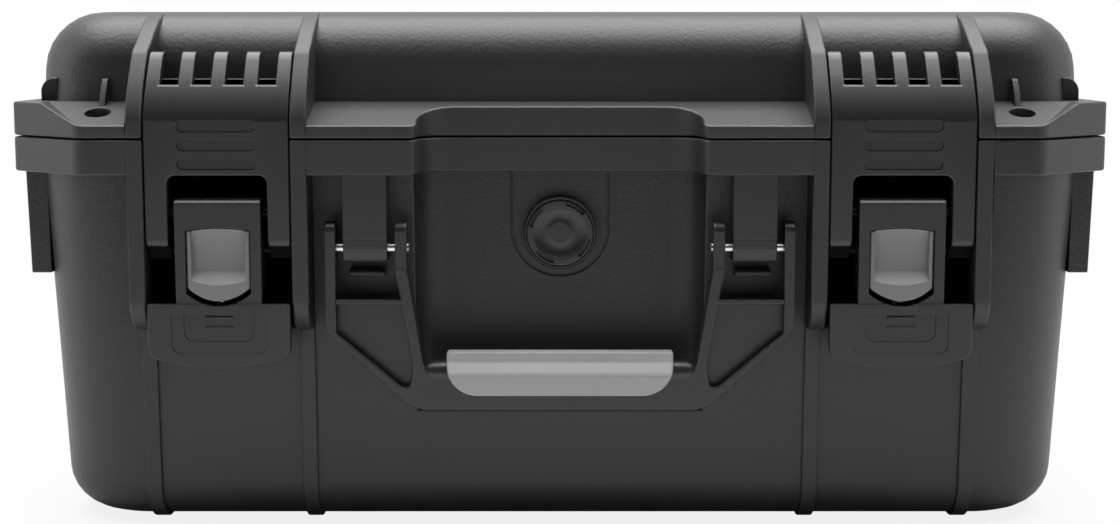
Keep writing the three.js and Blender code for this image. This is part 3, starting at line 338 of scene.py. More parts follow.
def mirrored(solid):
    """The solid and its mirror image in X."""
    other = solid.copy()
    bmesh.ops.scale(other, verts=other.verts, vec=(-1, 1, 1))
    bmesh.ops.reverse_faces(other, faces=other.faces)
    return gathered(solid, other)


def at_latches(solid):
    """The solid moved to the middle of each latch."""
    return gathered(*(shifted(solid.copy(), x=middle) for middle in latch_places.values()))


def scene_object(name, solid):
    mesh = bpy.data.meshes.new(name)
    solid.to_mesh(mesh)
    return linked(name, mesh)


def evaluated(thing):
    """The mesh of an object with its modifiers applied; the object itself goes."""
    graph = bpy.context.evaluated_depsgraph_get()
    mesh = bpy.data.meshes.new_from_object(thing.evaluated_get(graph), preserve_all_data_layers=True,
                                           depsgraph=graph)
    bpy.data.objects.remove(thing)
    return mesh


weld = 0.01
flat_turn = 0.6


def cut(solid, *tools, operation="DIFFERENCE"):
    """Moulding cores: each tool is taken out of the solid, or only what they share is kept."""
    stock = scene_object("stock", solid)
    cores = [scene_object("core", tool) for tool in tools]
    for core in cores:
        step = stock.modifiers.new("core", "BOOLEAN")
        step.object = core
        step.operation = operation
        step.solver = "EXACT"
    result = bmesh.new()
    result.from_mesh(evaluated(stock))
    for core in cores:
        bpy.data.objects.remove(core)
    bmesh.ops.remove_doubles(result, verts=result.verts, dist=weld)
    bmesh.ops.dissolve_limit(result, angle_limit=radians(flat_turn), verts=result.verts, edges=result.edges)
    return result


def softened(solid, width, segments=3, least=32, plain=False):
    """Gives every outer edge sharper than an angle a small moulded radius; plain splits hollow faces before."""
    if plain:
        bmesh.ops.connect_verts_concave(solid, faces=solid.faces)
    sharp = [edge for edge in solid.edges if len(edge.link_faces) == 2 and edge.is_convex
             and edge.calc_face_angle() > radians(least)]
    bmesh.ops.bevel(solid, geom=sharp, offset=width, offset_type="OFFSET", segments=segments, profile=0.5,
                    affect="EDGES", clamp_overlap=False)
    return solid


sharp_turn = 40
crease_turn = 12
broad_face = 6e-5


def mark_creases(mesh):
    """Keeps an edge crisp where its faces turn sharply, or where two broad flat faces meet at a small angle."""
    mesh.set_sharp_from_angle(angle=radians(sharp_turn))
    shape = bmesh.new()
    shape.from_mesh(mesh)
    for edge in shape.edges:
        if len(edge.link_faces) == 2 and edge.calc_face_angle() > radians(crease_turn) and (
                min(face.calc_area() for face in edge.link_faces) > broad_face):
            edge.smooth = False
    shape.to_mesh(mesh)


def piece(name, solid, body, finish, *nodes):
    """Finishes a piece: metres, smooth faces with flat ones kept flat, its material, and what it stands for."""
    thing = scene_object(name, solid)
    thing.data.transform(case_frame)
    thing.data.polygons.foreach_set("use_smooth", [True] * len(thing.data.polygons))
    mark_creases(thing.data)
    smooth = thing.modifiers.new("smooth", "WEIGHTED_NORMAL")
    smooth.keep_sharp = True
    mesh = evaluated(thing)
    mesh.name = name
    mesh.materials.clear()
    mesh.materials.append(finish)
    thing = linked(name, mesh)
    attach(thing, body)
    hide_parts(*nodes)
    return thing


# Base shell: a drafted tub moulded in one piece with its wells for the handle and the latches. Its walls and
# those of the lid follow one rule, a rounded rectangle that tapers and closes over a rounded edge.
case_half = 189.6
case_depth = 288
base_height = 136.7
foot_height = 1.3
wall = 3.5
flush = 0.05
past = 1
base_sides = {"Half width": case_half - 5.2, "Front": 14.0, "Back": case_depth - 7.0, "Corner radius": 32.0,
              "Draft slope": 0.042}
base_end = foot_height - base_height
base_edge = 15
tub_corner_steps = 10
tub_edge_steps = 7


def node_group(name, inputs, grow):
    """A tree of nodes that grows a shape from its named inputs and gives it a finish."""
    tree = bpy.data.node_groups.new(name, "GeometryNodeTree")
    tree.interface.new_socket(name="Geometry", in_out="OUTPUT", socket_type="NodeSocketGeometry")
    for label, kind in {**inputs, "Finish": "Material"}.items():
        tree.interface.new_socket(name=label, in_out="INPUT", socket_type="NodeSocket" + kind)
    nodes = Nodes(tree)
    given = {socket.name: Wire(nodes, socket) for socket in tree.nodes.new("NodeGroupInput").outputs}
    whole = nodes.add("GeometryNodeRealizeInstances", {"Geometry": grow(nodes, given)})
    made = nodes.add("GeometryNodeSetMaterial", {"Geometry": whole, "Material": given["Finish"]})
    tree.links.new(made.socket, tree.nodes.new("NodeGroupOutput").inputs[0])
    return tree


def grow_tub(nodes, given):
    """Bends a grid round the tub: its columns run round the corners, and its rows from the rim over the edge."""
    rows = tub_edge_steps + 2
    corner = tub_corner_steps + 1
    grid = nodes.add("GeometryNodeMeshGrid", {"Vertices X": 4 * corner + 1, "Vertices Y": rows})
    index = nodes.add("GeometryNodeInputIndex")
    column = (index / rows).math("FLOOR")
    row = index - column * rows
    quarter = ((column + 0.5) / corner).math("FLOOR")
    angle = (quarter + (column - quarter * corner) / tub_corner_steps) * (pi / 2)
    middle = (quarter + 0.5) * (pi / 2)
    below_rim = row > 0.5
    turn = (row - 1).math("MAXIMUM", 0) * (pi / 2 / tub_edge_steps)
    side = (given["End height"] - given["Rim height"]).math("SIGN")
    edge = given["Edge radius"]
    height = given["Rim height"] * (1 - below_rim) + below_rim * (
        given["End height"] - side * edge * (1 - turn.math("SINE")))
    shift = given["Inset"] + edge * (1 - turn.math("COSINE"))
    radius = given["Corner radius"] - shift
    taper = shift + abs(height) * given["Draft slope"]
    half_x = given["Half width"] - taper - radius
    half_y = (given["Back"] - given["Front"]) / 2 - taper - radius
    x = middle.math("COSINE").math("SIGN") * half_x + radius * angle.math("COSINE")
    y = (given["Front"] + given["Back"]) / 2 + radius * angle.math("SINE") + (
        middle.math("SINE").math("SIGN") * half_y)
    position = nodes.add("ShaderNodeCombineXYZ", {"X": x, "Y": y, "Z": height})
    shaped = nodes.add("GeometryNodeSetPosition", {"Geometry": grid, "Position": position})
    return nodes.add("GeometryNodeMergeByDistance", {"Geometry": shaped, "Distance": 0.001})


def grown(tree, values, start=None):
    """The mesh that a node tree makes with its named inputs set."""
    host = scene_object("host", start or bmesh.new())
    step = host.modifiers.new("grow", "NODES")
    step.node_group = tree
    for item in tree.interface.items_tree:
        if item.in_out == "INPUT" and item.name in values:
            step[item.identifier] = values[item.name]
    solid = bmesh.new()
    solid.from_mesh(evaluated(host))
    return solid


moulded_tub = node_group("moulded tub", {name: "Float" for name in (
    *base_sides, "Rim height", "End height", "Edge radius", "Inset")}, grow_tub)


def tub(sides, rim, end, edge, inset=0):
    toward = 1 if end < rim else -1
    solid = grown(moulded_tub, {**sides, "Rim height": float(rim), "End height": float(end + toward * inset),
                                "Edge radius": float(edge - inset), "Inset": float(inset),
                                "Finish": shell_plastic})
    bmesh.ops.holes_fill(solid, edges=[edge for edge in solid.edges if edge.is_boundary], sides=0)
    bmesh.ops.recalc_face_normals(solid, faces=solid.faces)
    return solid


def base_tub(inset=0, rim=-1.5):
    return tub(base_sides, rim, base_end, base_edge, inset)


bay_half = 24.7
bay_depth = 21
bay_radius = 2
grip_well_half = 50
grip_well_depth = 26.5
grip_well_drop = 95
recess_half = 48
recess_depth = 19
recess_radius = 12
rib_drop = 65.7
flange_drop = 11.9
edge_radius = 0.8


def well(centre, half, depth, radius, outset, low, high):
    x = half + outset
    y = depth + outset
    r = radius + outset
    return prism("Z", rounded([(centre - x, -1), (centre + x, -1), (centre + x, y, r), (centre - x, y, r)], 10),
                 low, high)


def grip_well(outset, low, high):
    return well(0, grip_well_half, grip_well_depth, recess_radius, outset, low, high)


def bay_wells(outset, low, high):
    return gathered(*(well(middle, bay_half, bay_depth, bay_radius, outset, low, high)
                      for middle in latch_places.values()))


def base_core(spare=0, rim=2, top=3):
    """The room inside the base, which wraps round the wells."""
    inset = wall + spare
    return cut(base_tub(inset, rim), grip_well(inset, -grip_well_drop - inset, top),
               bay_wells(inset, -rib_drop - inset, top))


vent_drop = 33.4
vent_hole_radius = 6.3
panel_half = 17.35
panel_middle = 31.95
panel_groove = 1.1
panel_deep = 1.3


def panel_outline(half):
    turns = [pi + pi * k / 28 for k in range(29)]
    return [(half, past - flange_drop), (-half, past - flange_drop)] + [
        (half * cos(turn), half * sin(turn) - panel_middle) for turn in turns]


vent_hole = prism("Y", disc((0, -vent_drop), vent_hole_radius), grip_well_depth - 2, 36)
base_walls = cut(base_tub(), grip_well(0, -grip_well_drop, flush - flange_drop),
                 well(0, recess_half, recess_depth, recess_radius, flush, -flange_drop, past),
                 bay_wells(flush, -rib_drop, past), base_core())
softened(base_walls, edge_radius)
panel_ring = cut(prism("Y", panel_outline(panel_half), grip_well_depth - 1, grip_well_depth + panel_deep),
                 prism("Y", panel_outline(panel_half - panel_groove), grip_well_depth - 2, grip_well_depth + 2))
base_walls = cut(base_walls, panel_ring, vent_hole)
piece("base_walls", base_walls, "base", shell_plastic, "base_shell")

# Rim of the base: a chamfered flange with a recess behind the handle, moulded with the ribs that stand on both
# sides of each latch and each hinge. Its underside is cored out and its padlock holes have bosses.
chamfer_width = 28.6
chamfer_depth = 25
skirt_wall = 2.8
deck_wall = 3.2
rib_width = 5.5
rib_foot_radius = 12
padlock_place = (157, 13)
padlock_radius = 4.5
padlock_boss = 7.5


def flange_plan(inset=0.0):
    run = hypot(chamfer_width, chamfer_depth)
    half = case_half - inset
    x = case_half - chamfer_width - inset * (chamfer_depth / run) / (1 + chamfer_width / run)
    y = chamfer_depth + inset * (chamfer_width / run) / (1 + chamfer_depth / run)
    recess = recess_half + inset
    soft = (0, 0) if inset else (5, 9)
    side = [(half, y, soft[0]), (half, case_depth - y, soft[0]), (x, case_depth - inset, soft[1])]
    front = [(-x, inset, soft[1]), (-recess, inset, max(3 - inset, 0.6)),
             (-recess, recess_depth + inset, recess_radius + inset)]
    return rounded(both_sides(side) + both_sides(front), 8)


def latch_ribs(outline, width=rib_width):
    return at_latches(mirrored(prism("X", outline, bay_half, bay_half + width)))


def padlock_holes(radius, low, high):
    return mirrored(prism("Z", disc(padlock_place, radius), low, high))


base_flange = cut(prism("Z", flange_plan(), -flange_drop, 0), bay_wells(0, -flange_drop - 1, past))
front_ribs = latch_ribs(rounded([(0, 0), (0, -rib_drop, rib_foot_radius), (22.75, -rib_drop), (22.75, 0)], 10))
rear_ribs = latch_ribs([(273.6, 0), (273.6, -rib_drop), (281, -rib_drop), (case_depth, -flange_drop),
                        (case_depth, 0)])
base_flange = cut(base_flange, front_ribs, rear_ribs, operation="UNION")
hollow = cut(prism("Z", flange_plan(skirt_wall), -flange_drop - 1, -deck_wall),
             box_of((-grip_well_half - skirt_wall, grip_well_half + skirt_wall), (-1, 17.5),
                    (-flange_drop - 2, past)),
             *(latch_ribs([(start, 1), (start, -70), (end, -70), (end, 1)], rib_width + 0.02)
               for start, end in ((-1, 24), (270, 290))),
             padlock_holes(padlock_boss, -flange_drop - 2, past))
base_flange = cut(base_flange, hollow, base_core(flush), padlock_holes(padlock_radius, -flange_drop - 1, past))
softened(base_flange, edge_radius, plain=True)
piece("base_flange", base_flange, "base", rim_plastic, "base_shell")

# Sealing tongue on the rim of the base, which presses into the lid's gasket all the way round.
channel_inner = 0.8
channel_width = 3.2
tongue_width = 1.6
parting_gap = 0.5
tongue_top = parting_gap + 1.4


def rim_line(outward):
    inset = wall - outward
    half = base_sides["Half width"] - inset
    front = base_sides["Front"] + inset
    back = base_sides["Back"] - inset
    radius = base_sides["Corner radius"] - inset
    return rounded([(-half, front, radius), (half, front, radius), (half, back, radius), (-half, back, radius)],
                   tub_corner_steps)


def rim_block(outward, low, high):
    inset = wall - outward
    return cut(prism("Z", rim_line(outward), low, high), grip_well(inset, low - past, high + past),
               bay_wells(inset, low - past, high + past))


def rim_band(inner, outer, low, high, edge):
    return softened(cut(rim_block(outer, low, high), rim_block(inner, low - past, high + past)), edge)


tongue_start = channel_inner + (channel_width - tongue_width) / 2
tongue = rim_band(tongue_start, tongue_start + tongue_width, -deck_wall / 2, tongue_top, 0.35)
piece("base_tongue", tongue, "base", shell_plastic, "base_shell")

# Low ribs that run from the latches down the front, under the case and up its back. Their feet carry the case.
wall_rib_width = 5.3
wall_rib_inner = bay_half + 0.1
wall_rib_top = 53.7


def tub_section(sides, top, end, edge, inset):
    """Depths and heights round a tub's middle, from its front edge to its back one."""
    side = 1 if end < top else -1
    half = [(sides["Front"] + abs(top) * sides["Draft slope"] + inset, top)]
    for k in range(tub_edge_steps * 2 + 1):
        turn = pi / 2 * k / (tub_edge_steps * 2)
        height = end + side * inset + side * (edge - inset) * (1 - sin(turn))
        half.append((sides["Front"] + abs(height) * sides["Draft slope"] + inset
                     + (edge - inset) * (1 - cos(turn)), height))
    middle = (sides["Front"] + sides["Back"]) / 2
    return half + [(2 * middle - depth, height) for depth, height in reversed(half)]


def wall_rib_outline():
    outside = tub_section(base_sides, -wall_rib_top, base_end, base_edge, -foot_height)
    inside = tub_section(base_sides, -wall_rib_top, base_end, base_edge, wall / 2)
    return outside + list(reversed(inside))


wall_rib = softened(prism("X", wall_rib_outline(), wall_rib_inner, wall_rib_inner + wall_rib_width), 0.5)
piece("base_wall_ribs", at_latches(mirrored(wall_rib)), "base", shell_plastic, "base_shell")

# Side gussets under the flange, front and back, which stiffen it where it overhangs the end walls.
gusset_wall = 3.5
gusset_drop = 49
gusset_outer = case_half - 0.8
gusset_setback = 35
gusset_line = [(gusset_outer, 1 - flange_drop), (gusset_outer, -flange_drop), (gusset_outer - 1, -gusset_drop),
               (case_half - 9, -gusset_drop), (case_half - 8.7, 1 - flange_drop)]
gussets = mirrored(gathered(*(softened(prism("Y", gusset_line, y, y + gusset_wall), 0.6)
                              for y in (gusset_setback, case_depth - gusset_setback - gusset_wall))))
piece("side_gussets", gussets, "base", shell_plastic, "base_shell")

# Handle bosses: two blocks under the front flange that carry the handle's pins. Their faces step in twice and
# run out in a short ramp under the pin.
boss_inner = 58.4
boss_outer = 73.2
boss_front = 2.6
pin_depth = 6
pin_drop = 36.7
pin_bore = 1.9
boss_back = 18.4
boss_line = [(boss_front, 1 - flange_drop), (boss_front, -33.7), (boss_front + 0.45, -34.0),
             (boss_front + 0.45, -36.1), (boss_front, -36.4), (boss_front, -36.9), (boss_front + 1.0, -40.4),
             (boss_front + 1.8, -41.2), (boss_back, -41.6), (boss_back, 1 - flange_drop)]
boss = cut(prism("X", boss_line, boss_inner, boss_outer),
           bore((pin_depth, -pin_drop), pin_bore, boss_inner - past, boss_outer + past))
softened(boss, 0.25)
ledge = softened(prism("X", [(8.8, -45.4), (9.6, -44.6), (boss_back + 0.4, -44.6), (boss_back + 0.4, -47.4),
                             (8.8, -46.7)], boss_inner + 1.2, boss_outer - 1.2), 0.3)
piece("handle_bosses", mirrored(gathered(boss, ledge)), "base", rim_plastic, "base_shell")

# Rear hinges: knuckles of the base and of the lid take turns along each steel pin. A tree of nodes copies one
# shape along a row, or round a ring, for all that repeats on the case.


def grow_copies(nodes, given):
    line = nodes.add("GeometryNodeMeshLine", {"Count": given["Count"], "Offset": given["Step"]}, mode="OFFSET")
    turned = nodes.add("ShaderNodeCombineXYZ", {"Y": nodes.add("GeometryNodeInputIndex") * given["Turn"]})
    return nodes.add("GeometryNodeInstanceOnPoints",
                     {"Points": line, "Instance": given["Shape"], "Rotation": turned})


copies = node_group("row of copies", {"Shape": "Geometry", "Count": "Int", "Step": "Vector", "Turn": "Float"},
                    grow_copies)


def row(shape, count, step=(0, 0, 0), turn=0.0):
    return grown(copies, {"Count": count, "Step": step, "Turn": turn, "Finish": shell_plastic}, shape)


hinge_width = 49
hinge_depth = case_depth + 6.5
knuckle_radius = 4.2
knuckle_pitch = hinge_width / 5
knuckle_play = 0.4
knuckle_width = knuckle_pitch - knuckle_play
hinge_bore = 1.8
hinge_pin_radius = 1.5


def knuckle(side, root, drop):
    barrel = [(hinge_depth + knuckle_radius * cos(radians(a)), -side * knuckle_radius * sin(radians(a)))
              for a in range(187, -61, -13)]
    line = [(case_depth - 1, side * root), (case_depth - 1, side * drop)] + barrel
    solid = softened(prism("X", line, 0, knuckle_width), 0.4)
    return cut(solid, bore((hinge_depth, 0), hinge_bore, -past, knuckle_width + past))


def hinge_row(side, root, drop, first, count):
    own = row(knuckle(side, root, drop), count, (2 * knuckle_pitch, 0, 0))
    return at_latches(shifted(own, x=first * knuckle_pitch - hinge_width / 2 + knuckle_play / 2))


piece("base_knuckles", hinge_row(-1, flange_drop - skirt_wall, 0.6, 0, 3), "base", shell_plastic, "base_shell")
piece("lid_knuckles", hinge_row(1, 12 - skirt_wall, 0.6, 1, 2), "lid", shell_plastic, "lid_shell")

# Lid shell: the same kind of drafted tub turned over, with a broad rounded shoulder and a flange whose top slopes
# down to the front. Ribs beside each latch run up over the shoulder, and each latch hooks on a ledge between them.
lid_height = 43.1
lid_flange = 12
lid_front_edge = 4.7
lid_slope = 0.3
lid_sides = {"Half width": case_half - 2.6, "Front": 26.0, "Back": case_depth - 9.0, "Corner radius": 32.0,
             "Draft slope": 0.05}
lid_edge = 19.5
lid_bay_depth = 19
rib_knee = 6
rib_nose = 29.8
rib_lean = 14


def lid_tub(inset=0, rim=1):
    return tub(lid_sides, rim, lid_height, lid_edge, inset)


def front_lean(height):
    """How far a latch's front leans back at a height."""
    return rib_lean * (max(height - rib_knee, 0) / (rib_nose - rib_knee)) ** 1.4


def lean_line(top, inset=0.0, steps=14):
    heights = [rib_knee + (top - rib_knee) * k / steps for k in range(steps + 1)]
    return [(front_lean(height) + inset, height) for height in heights]


def lid_core(spare=0):
    """The room inside the lid, narrower at the rim, where the walls are thick enough to hold the gasket."""
    ledge = rim_line(-0.4 - spare)
    return cut(lid_tub(wall + spare, -1), cut(prism("Z", [(-190, 0), (190, 0), (190, 290), (-190, 290)], -2, 9),
                                              prism("Z", ledge, -3, 10)))


lid_walls = cut(lid_tub(), lid_core())
piece("lid_walls", lid_walls, "lid", shell_plastic, "lid_shell")

slope_end = (lid_flange - lid_front_edge) / lid_slope
above_slope = prism("X", [(-1, lid_front_edge - lid_slope), (slope_end, lid_flange), (slope_end, lid_flange + 2),
                          (-1, lid_flange + 2)], -200, 200)
ramp_foot = case_half - chamfer_width
ramp_rise = (lid_flange - lid_front_edge) / 15.7
between_ramps = both_sides([(ramp_foot, 4.0), (ramp_foot, lid_front_edge),
                            (ramp_foot + 20, lid_front_edge + 20 * ramp_rise), (ramp_foot + 20, lid_flange + 3)])
above_slope = cut(above_slope, prism("Y", between_ramps, -2, slope_end + 1), operation="INTERSECT")
lid_bays = gathered(*(box_of((middle - bay_half, middle + bay_half), (-1, lid_bay_depth + flush), (0, lid_height))
                      for middle in latch_places.values()))
lid_rim = cut(prism("Z", flange_plan(), parting_gap, lid_flange), above_slope, lid_bays)
lid_front_ribs = latch_ribs([(0, parting_gap)] + lean_line(rib_nose) + [
    (18.5, 32.0), (25.5, 36.2), (33, 40.0), (40, 42.1), (46, 43.0), (52, lid_height), (52, 41.3), (46, 41.2),
    (38.9, 38.9), (32.4, 32.5), (29.2, 23.6), (27.9, parting_gap)])
lid_rear_ribs = latch_ribs([(277.2, parting_gap), (case_depth, parting_gap), (case_depth, lid_flange),
                            (275.6, 27.2), (275.6, 23.6)])
lid_rim = cut(lid_rim, lid_front_ribs, lid_rear_ribs, operation="UNION")
softened(lid_rim, edge_radius, plain=True)
channel = cut(rim_block(channel_inner + channel_width, -1, parting_gap + 4.2), rim_block(channel_inner, -2, 6))
lid_rim = cut(lid_rim, lid_core(flush), channel, padlock_holes(padlock_radius, -1, lid_height))
piece("lid_flange", lid_rim, "lid", rim_plastic, "lid_shell")

catch_line = [(lid_bay_depth, parting_gap), (lid_bay_depth + 3, parting_gap), (lid_bay_depth + 3, 20),
              (lid_bay_depth + 0.3, 20), (lid_bay_depth, 19.7)]
catch = softened(prism("X", catch_line, -bay_half - 1, bay_half + 1), 0.3)
piece("catch_ledges", at_latches(catch), "lid", rim_plastic, "lid_shell")

front_fin = prism("X", rounded([(18, 7.3), (27.75, 7.3), (27.75, 20), (24.9, 20, 2.2), (21.2, 14.5)], 6),
                  156.1, 158.3)
side_fin = prism("Y", rounded([(176.6, 11), (182.7, 11), (182.7, 18.6, 5), (178.6, 20), (176.6, 20)], 8), 36, 38.2)
front_fin, side_fin = softened(front_fin, 0.5), softened(side_fin, 0.5)
piece("lid_fins", mirrored(gathered(front_fin, side_fin)), "lid", rim_plastic, "lid_shell")

# Gasket: a soft rubber ring in the lid's channel, held by its own width, which the tongue presses on.
rubber = moulded("black rubber", (0.012, 0.012, 0.012), 0.62, 0.0006, 0.00006, mottle=0.05)
seal_top = parting_gap + 3.9
seal = rim_band(channel_inner + 0.3, channel_inner + channel_width - 0.3, seal_top - 2, seal_top, 0.6)
piece("lid_seal_ring", seal, "lid", rubber, "lid_seal")

# Foam: a dark closed-cell block cut out in three long channels for graded slabs, and a pad in the lid. Cut foam
# is matt, shows fine cells, and its cut edges give a little.
foam_fit = 0.5
foam_edge = 1.2


def foam_finish():
    material, nodes, place = finish_of("dark foam")
    cells = nodes.add("ShaderNodeTexVoronoi", {"Vector": place, "Scale": 1100, "Randomness": 1}, output="Distance")
    patches = nodes.noise(place, 60, 4)
    clouded = nodes.tint(patches, (0.016, 0.016, 0.017), (0.030, 0.030, 0.031))
    dark = nodes.tint((cells * 1.6).math("MINIMUM", 1), clouded, (0.038, 0.038, 0.039))
    nodes.surface(nodes.principled(dark, cells * 0.7 + patches * 0.6, 0.00035, Roughness=0.93,
                                   Specular_IOR_Level=0.25, Sheen_Weight=0.15))
    return material


dark_foam = foam_finish()
foam_inset = wall + foam_fit
channel_length = 89
channel_pitch = channel_length + 12
channel_floor = base_end + foam_inset + 12
channel_front = 47
channel_back = case_depth - 24
slab_channel = box_of((-channel_length / 2, channel_length / 2), (channel_front, channel_back), (channel_floor, past))
channels = shifted(row(slab_channel, 3, (channel_pitch, 0, 0)), x=-channel_pitch)
vent_room = box_of((-12, 12), (grip_well_depth, 39.5), (-45.4, past))
foam_block = softened(cut(base_core(foam_fit, -2, past), channels, vent_room), foam_edge)
base_foam = piece("base_foam_block", foam_block, "base", dark_foam, "base_foam")

lid_foam_top = lid_height - wall - foam_fit
lid_foam_thickness = 18
below_pad = box_of((-200, 200), (0, case_depth), (-2, lid_foam_top - lid_foam_thickness))
lid_pad = softened(cut(lid_tub(foam_inset, -1), below_pad), foam_edge)
lid_foam = piece("lid_foam_pad", lid_pad, "lid", dark_foam, "lid_foam")

# Steel pins of the hinges, levers, claws and handle: ground rods with a small chamfer at each end. Those of the
# latches are near-black, a painted shade for the dark gaps they sit in.


def steel_finish(name, dark, bright, roughness):
    material, nodes, place = finish_of(name)
    stretched = nodes.add("ShaderNodeMapping", {0: place, 3: (8, 1, 1)})
    lines = nodes.noise(stretched, 900, 3)
    metal = nodes.tint(lines, *((level, level, level * 1.02) for level in (dark, bright)))
    nodes.surface(nodes.principled(metal, lines, 0.00002, 0.5, Metallic=1, Roughness=roughness + lines * 0.1))
    return material


pin_steel = steel_finish("pin steel", 0.56, 0.72, 0.22)
shade_black_steel = steel_finish("shade-dark pin steel", 0.012, 0.02, 0.4)
pin_sides = 32


def turned(profile, steps, axis="X"):
    """A solid of revolution: its profile gives places along the axis and radii."""
    solid = bmesh.new()
    rings = []
    for along, radius in profile:
        if radius < 1e-6:
            rings.append([solid.verts.new((along, 0, 0))])
        else:
            rings.append([solid.verts.new((along, radius * cos(2 * pi * k / steps), radius * sin(2 * pi * k / steps)))
                          for k in range(steps)])
    for low, high in zip(rings, rings[1:]):
        for k in range(steps):
            corners = [low[k % len(low)], low[(k + 1) % len(low)], high[(k + 1) % len(high)], high[k % len(high)]]
            corners = list(dict.fromkeys(corners))
            if len(corners) > 2:
                solid.faces.new(corners)
    if axis == "Y":
        bmesh.ops.rotate(solid, verts=solid.verts, matrix=Matrix.Rotation(pi / 2, 3, "Z"))
    bmesh.ops.remove_doubles(solid, verts=solid.verts, dist=0.001)
    bmesh.ops.recalc_face_normals(solid, faces=solid.faces)
    return solid


def pin(start, end, depth, height, radius):
    bite = radius * 0.28
    profile = [(start, 0), (start, radius * 0.5), (start + bite * 0.3, radius - bite), (start + bite, radius),
               (end - bite, radius), (end - bite * 0.3, radius - bite), (end, radius * 0.5), (end, 0)]
    return shifted(turned(profile, pin_sides), y=depth, z=height)


for side, middle in latch_places.items():
    piece("hinge_pin_" + side + "_rod", pin(middle - hinge_width / 2, middle + hinge_width / 2, hinge_depth, 0,
                                             hinge_pin_radius), "base", pin_steel, "hinge_pin_" + side)

# Latch claws: smooth satin plates with five hooked fingers, which hook over the lid's ledge and hang on a pin of
# the lever. Three shallow finger grooves are sunk in each, and a window leaves room for the lever's neck.
latch_plastic = moulded("satin latch plastic", black, 0.36, 0.0007, 0.00003, specular=0.52,
                        mottle=0.1)
# Near-black, dull plastic for the claw eyes: painted shade for the dark room under the claw's legs.
shade_black_plastic = moulded("painted shade latch plastic", (0.002, 0.002, 0.002), 0.85, 0.0007, 0.00003,
                       specular=0.15)
claw_half = bay_half - 0.35
claw_inset = 0.6
claw_wall = 4.1
claw_foot = 36
claw_tip = 29.2
finger_slot = 6
finger_count = 5
slot_foot = 18.2
window_half = 16.7
window_top = 12
groove_half = 11.3
groove_radius = 1.85
groove_pitch = 6.3
groove_low = -8.05
lever_pin_place = (7.5, -25)
claw_pin_place = (8.5, -37.5)
latch_pin_radius = 1.6
latch_bore = 1.9


def claw_solid():
    back = claw_inset + claw_wall
    tip = front_lean(claw_tip) + claw_inset
    profile = [(claw_inset, -claw_foot + 2.6)] + lean_line(claw_tip - 1.3, claw_inset) + [
        (tip + 0.05, claw_tip - 0.65), (tip + 0.6, claw_tip - 0.1), (tip + 1.3, claw_tip),
        (tip + 4.2, claw_tip), (tip + 4.2, claw_tip - 2.4),
        (front_lean(slot_foot) + back, slot_foot), (front_lean(slot_foot - 2.4) + back, slot_foot - 2.4),
        (back, rib_knee), (back, -claw_foot), (claw_inset + 1.3, -claw_foot)]
    plate = prism("X", profile, -claw_half, claw_half)
    finger = (2 * claw_half - (finger_count - 1) * finger_slot) / finger_count
    slot_shape = box_of((-claw_half + finger, -claw_half + finger + finger_slot), (0, 26), (slot_foot, 40))
    slots = row(slot_shape, finger_count - 1, (finger + finger_slot, 0, 0))
    window = prism("Y", rounded(both_sides([(-window_half, -claw_foot - 1), (-window_half, -window_top, 2.7)]), 8),
                   -1, 26)
    plate = softened(cut(plate, slots, window), 0.7)
    pill = []
    for middle, start in ((groove_half, -pi / 2), (-groove_half, pi / 2)):
        turns = [start + pi * k / 12 for k in range(13)]
        pill += [(middle + groove_radius * cos(turn), groove_radius * sin(turn)) for turn in turns]
    grooves = shifted(row(prism("Y", pill, -1, claw_inset + 0.8), 3, (0, 0, groove_pitch)), z=groove_low)
    return softened(cut(plate, grooves), 0.22, segments=2, least=70)


# The eyes take the near-black plastic, as painted shade below the claw's legs.
def claw_eyes():
    back = claw_inset + claw_wall
    eye = rounded([(back - 1.5, -31.4), (back + 2.2, -31.4, 1.5), (11.6, -35.4, 2.6), (11.6, -40.6, 3.05),
                   (5.4, -40.6, 3.05), (5.0, -claw_foot - 0.6), (back - 1.5, -claw_foot)], 8)
    return mirrored(softened(cut(prism("X", eye, window_half, claw_half - 0.05),
                                 bore(claw_pin_place, latch_bore, 10, 30)), 0.3))


# Latch levers: a boxed neck that turns on the shell's pin and a broad pull flap with two shallow stepped rims and
# two raised bars. The neck is cored out from behind, and its window holds the release button.
lever_half = 14.5
lever_top = 20
flap_half = 24
flap_top = 55.2
flap_side = 74.4
flap_low = 77.3
flap_front = -1
bar_half = 4.8
bar_low = -63.8
bar_pitch = 3.4
button_half = 10.55
button_top = 28.7
button_low = 54.1
button_sag = 4.2
spring_travel = 1.5


def button_line(play=0.0, travel=0.0, steps=16):
    half = button_half + play
    top = -button_top + play
    low = -button_low - play - travel
    arc = [(half * (1 - 2 * k / steps), k / steps) for k in range(steps + 1)]
    upper = [(x, top - 2 + 4 * share * (1 - share)) for x, share in arc]
    lower = [(-x, low + button_sag - 4 * button_sag * share * (1 - share)) for x, share in arc]
    return upper + lower


def stepped(half, drop):
    return rounded(both_sides([(-half, -58.5), (-half, -drop, 3.5)]), 6)


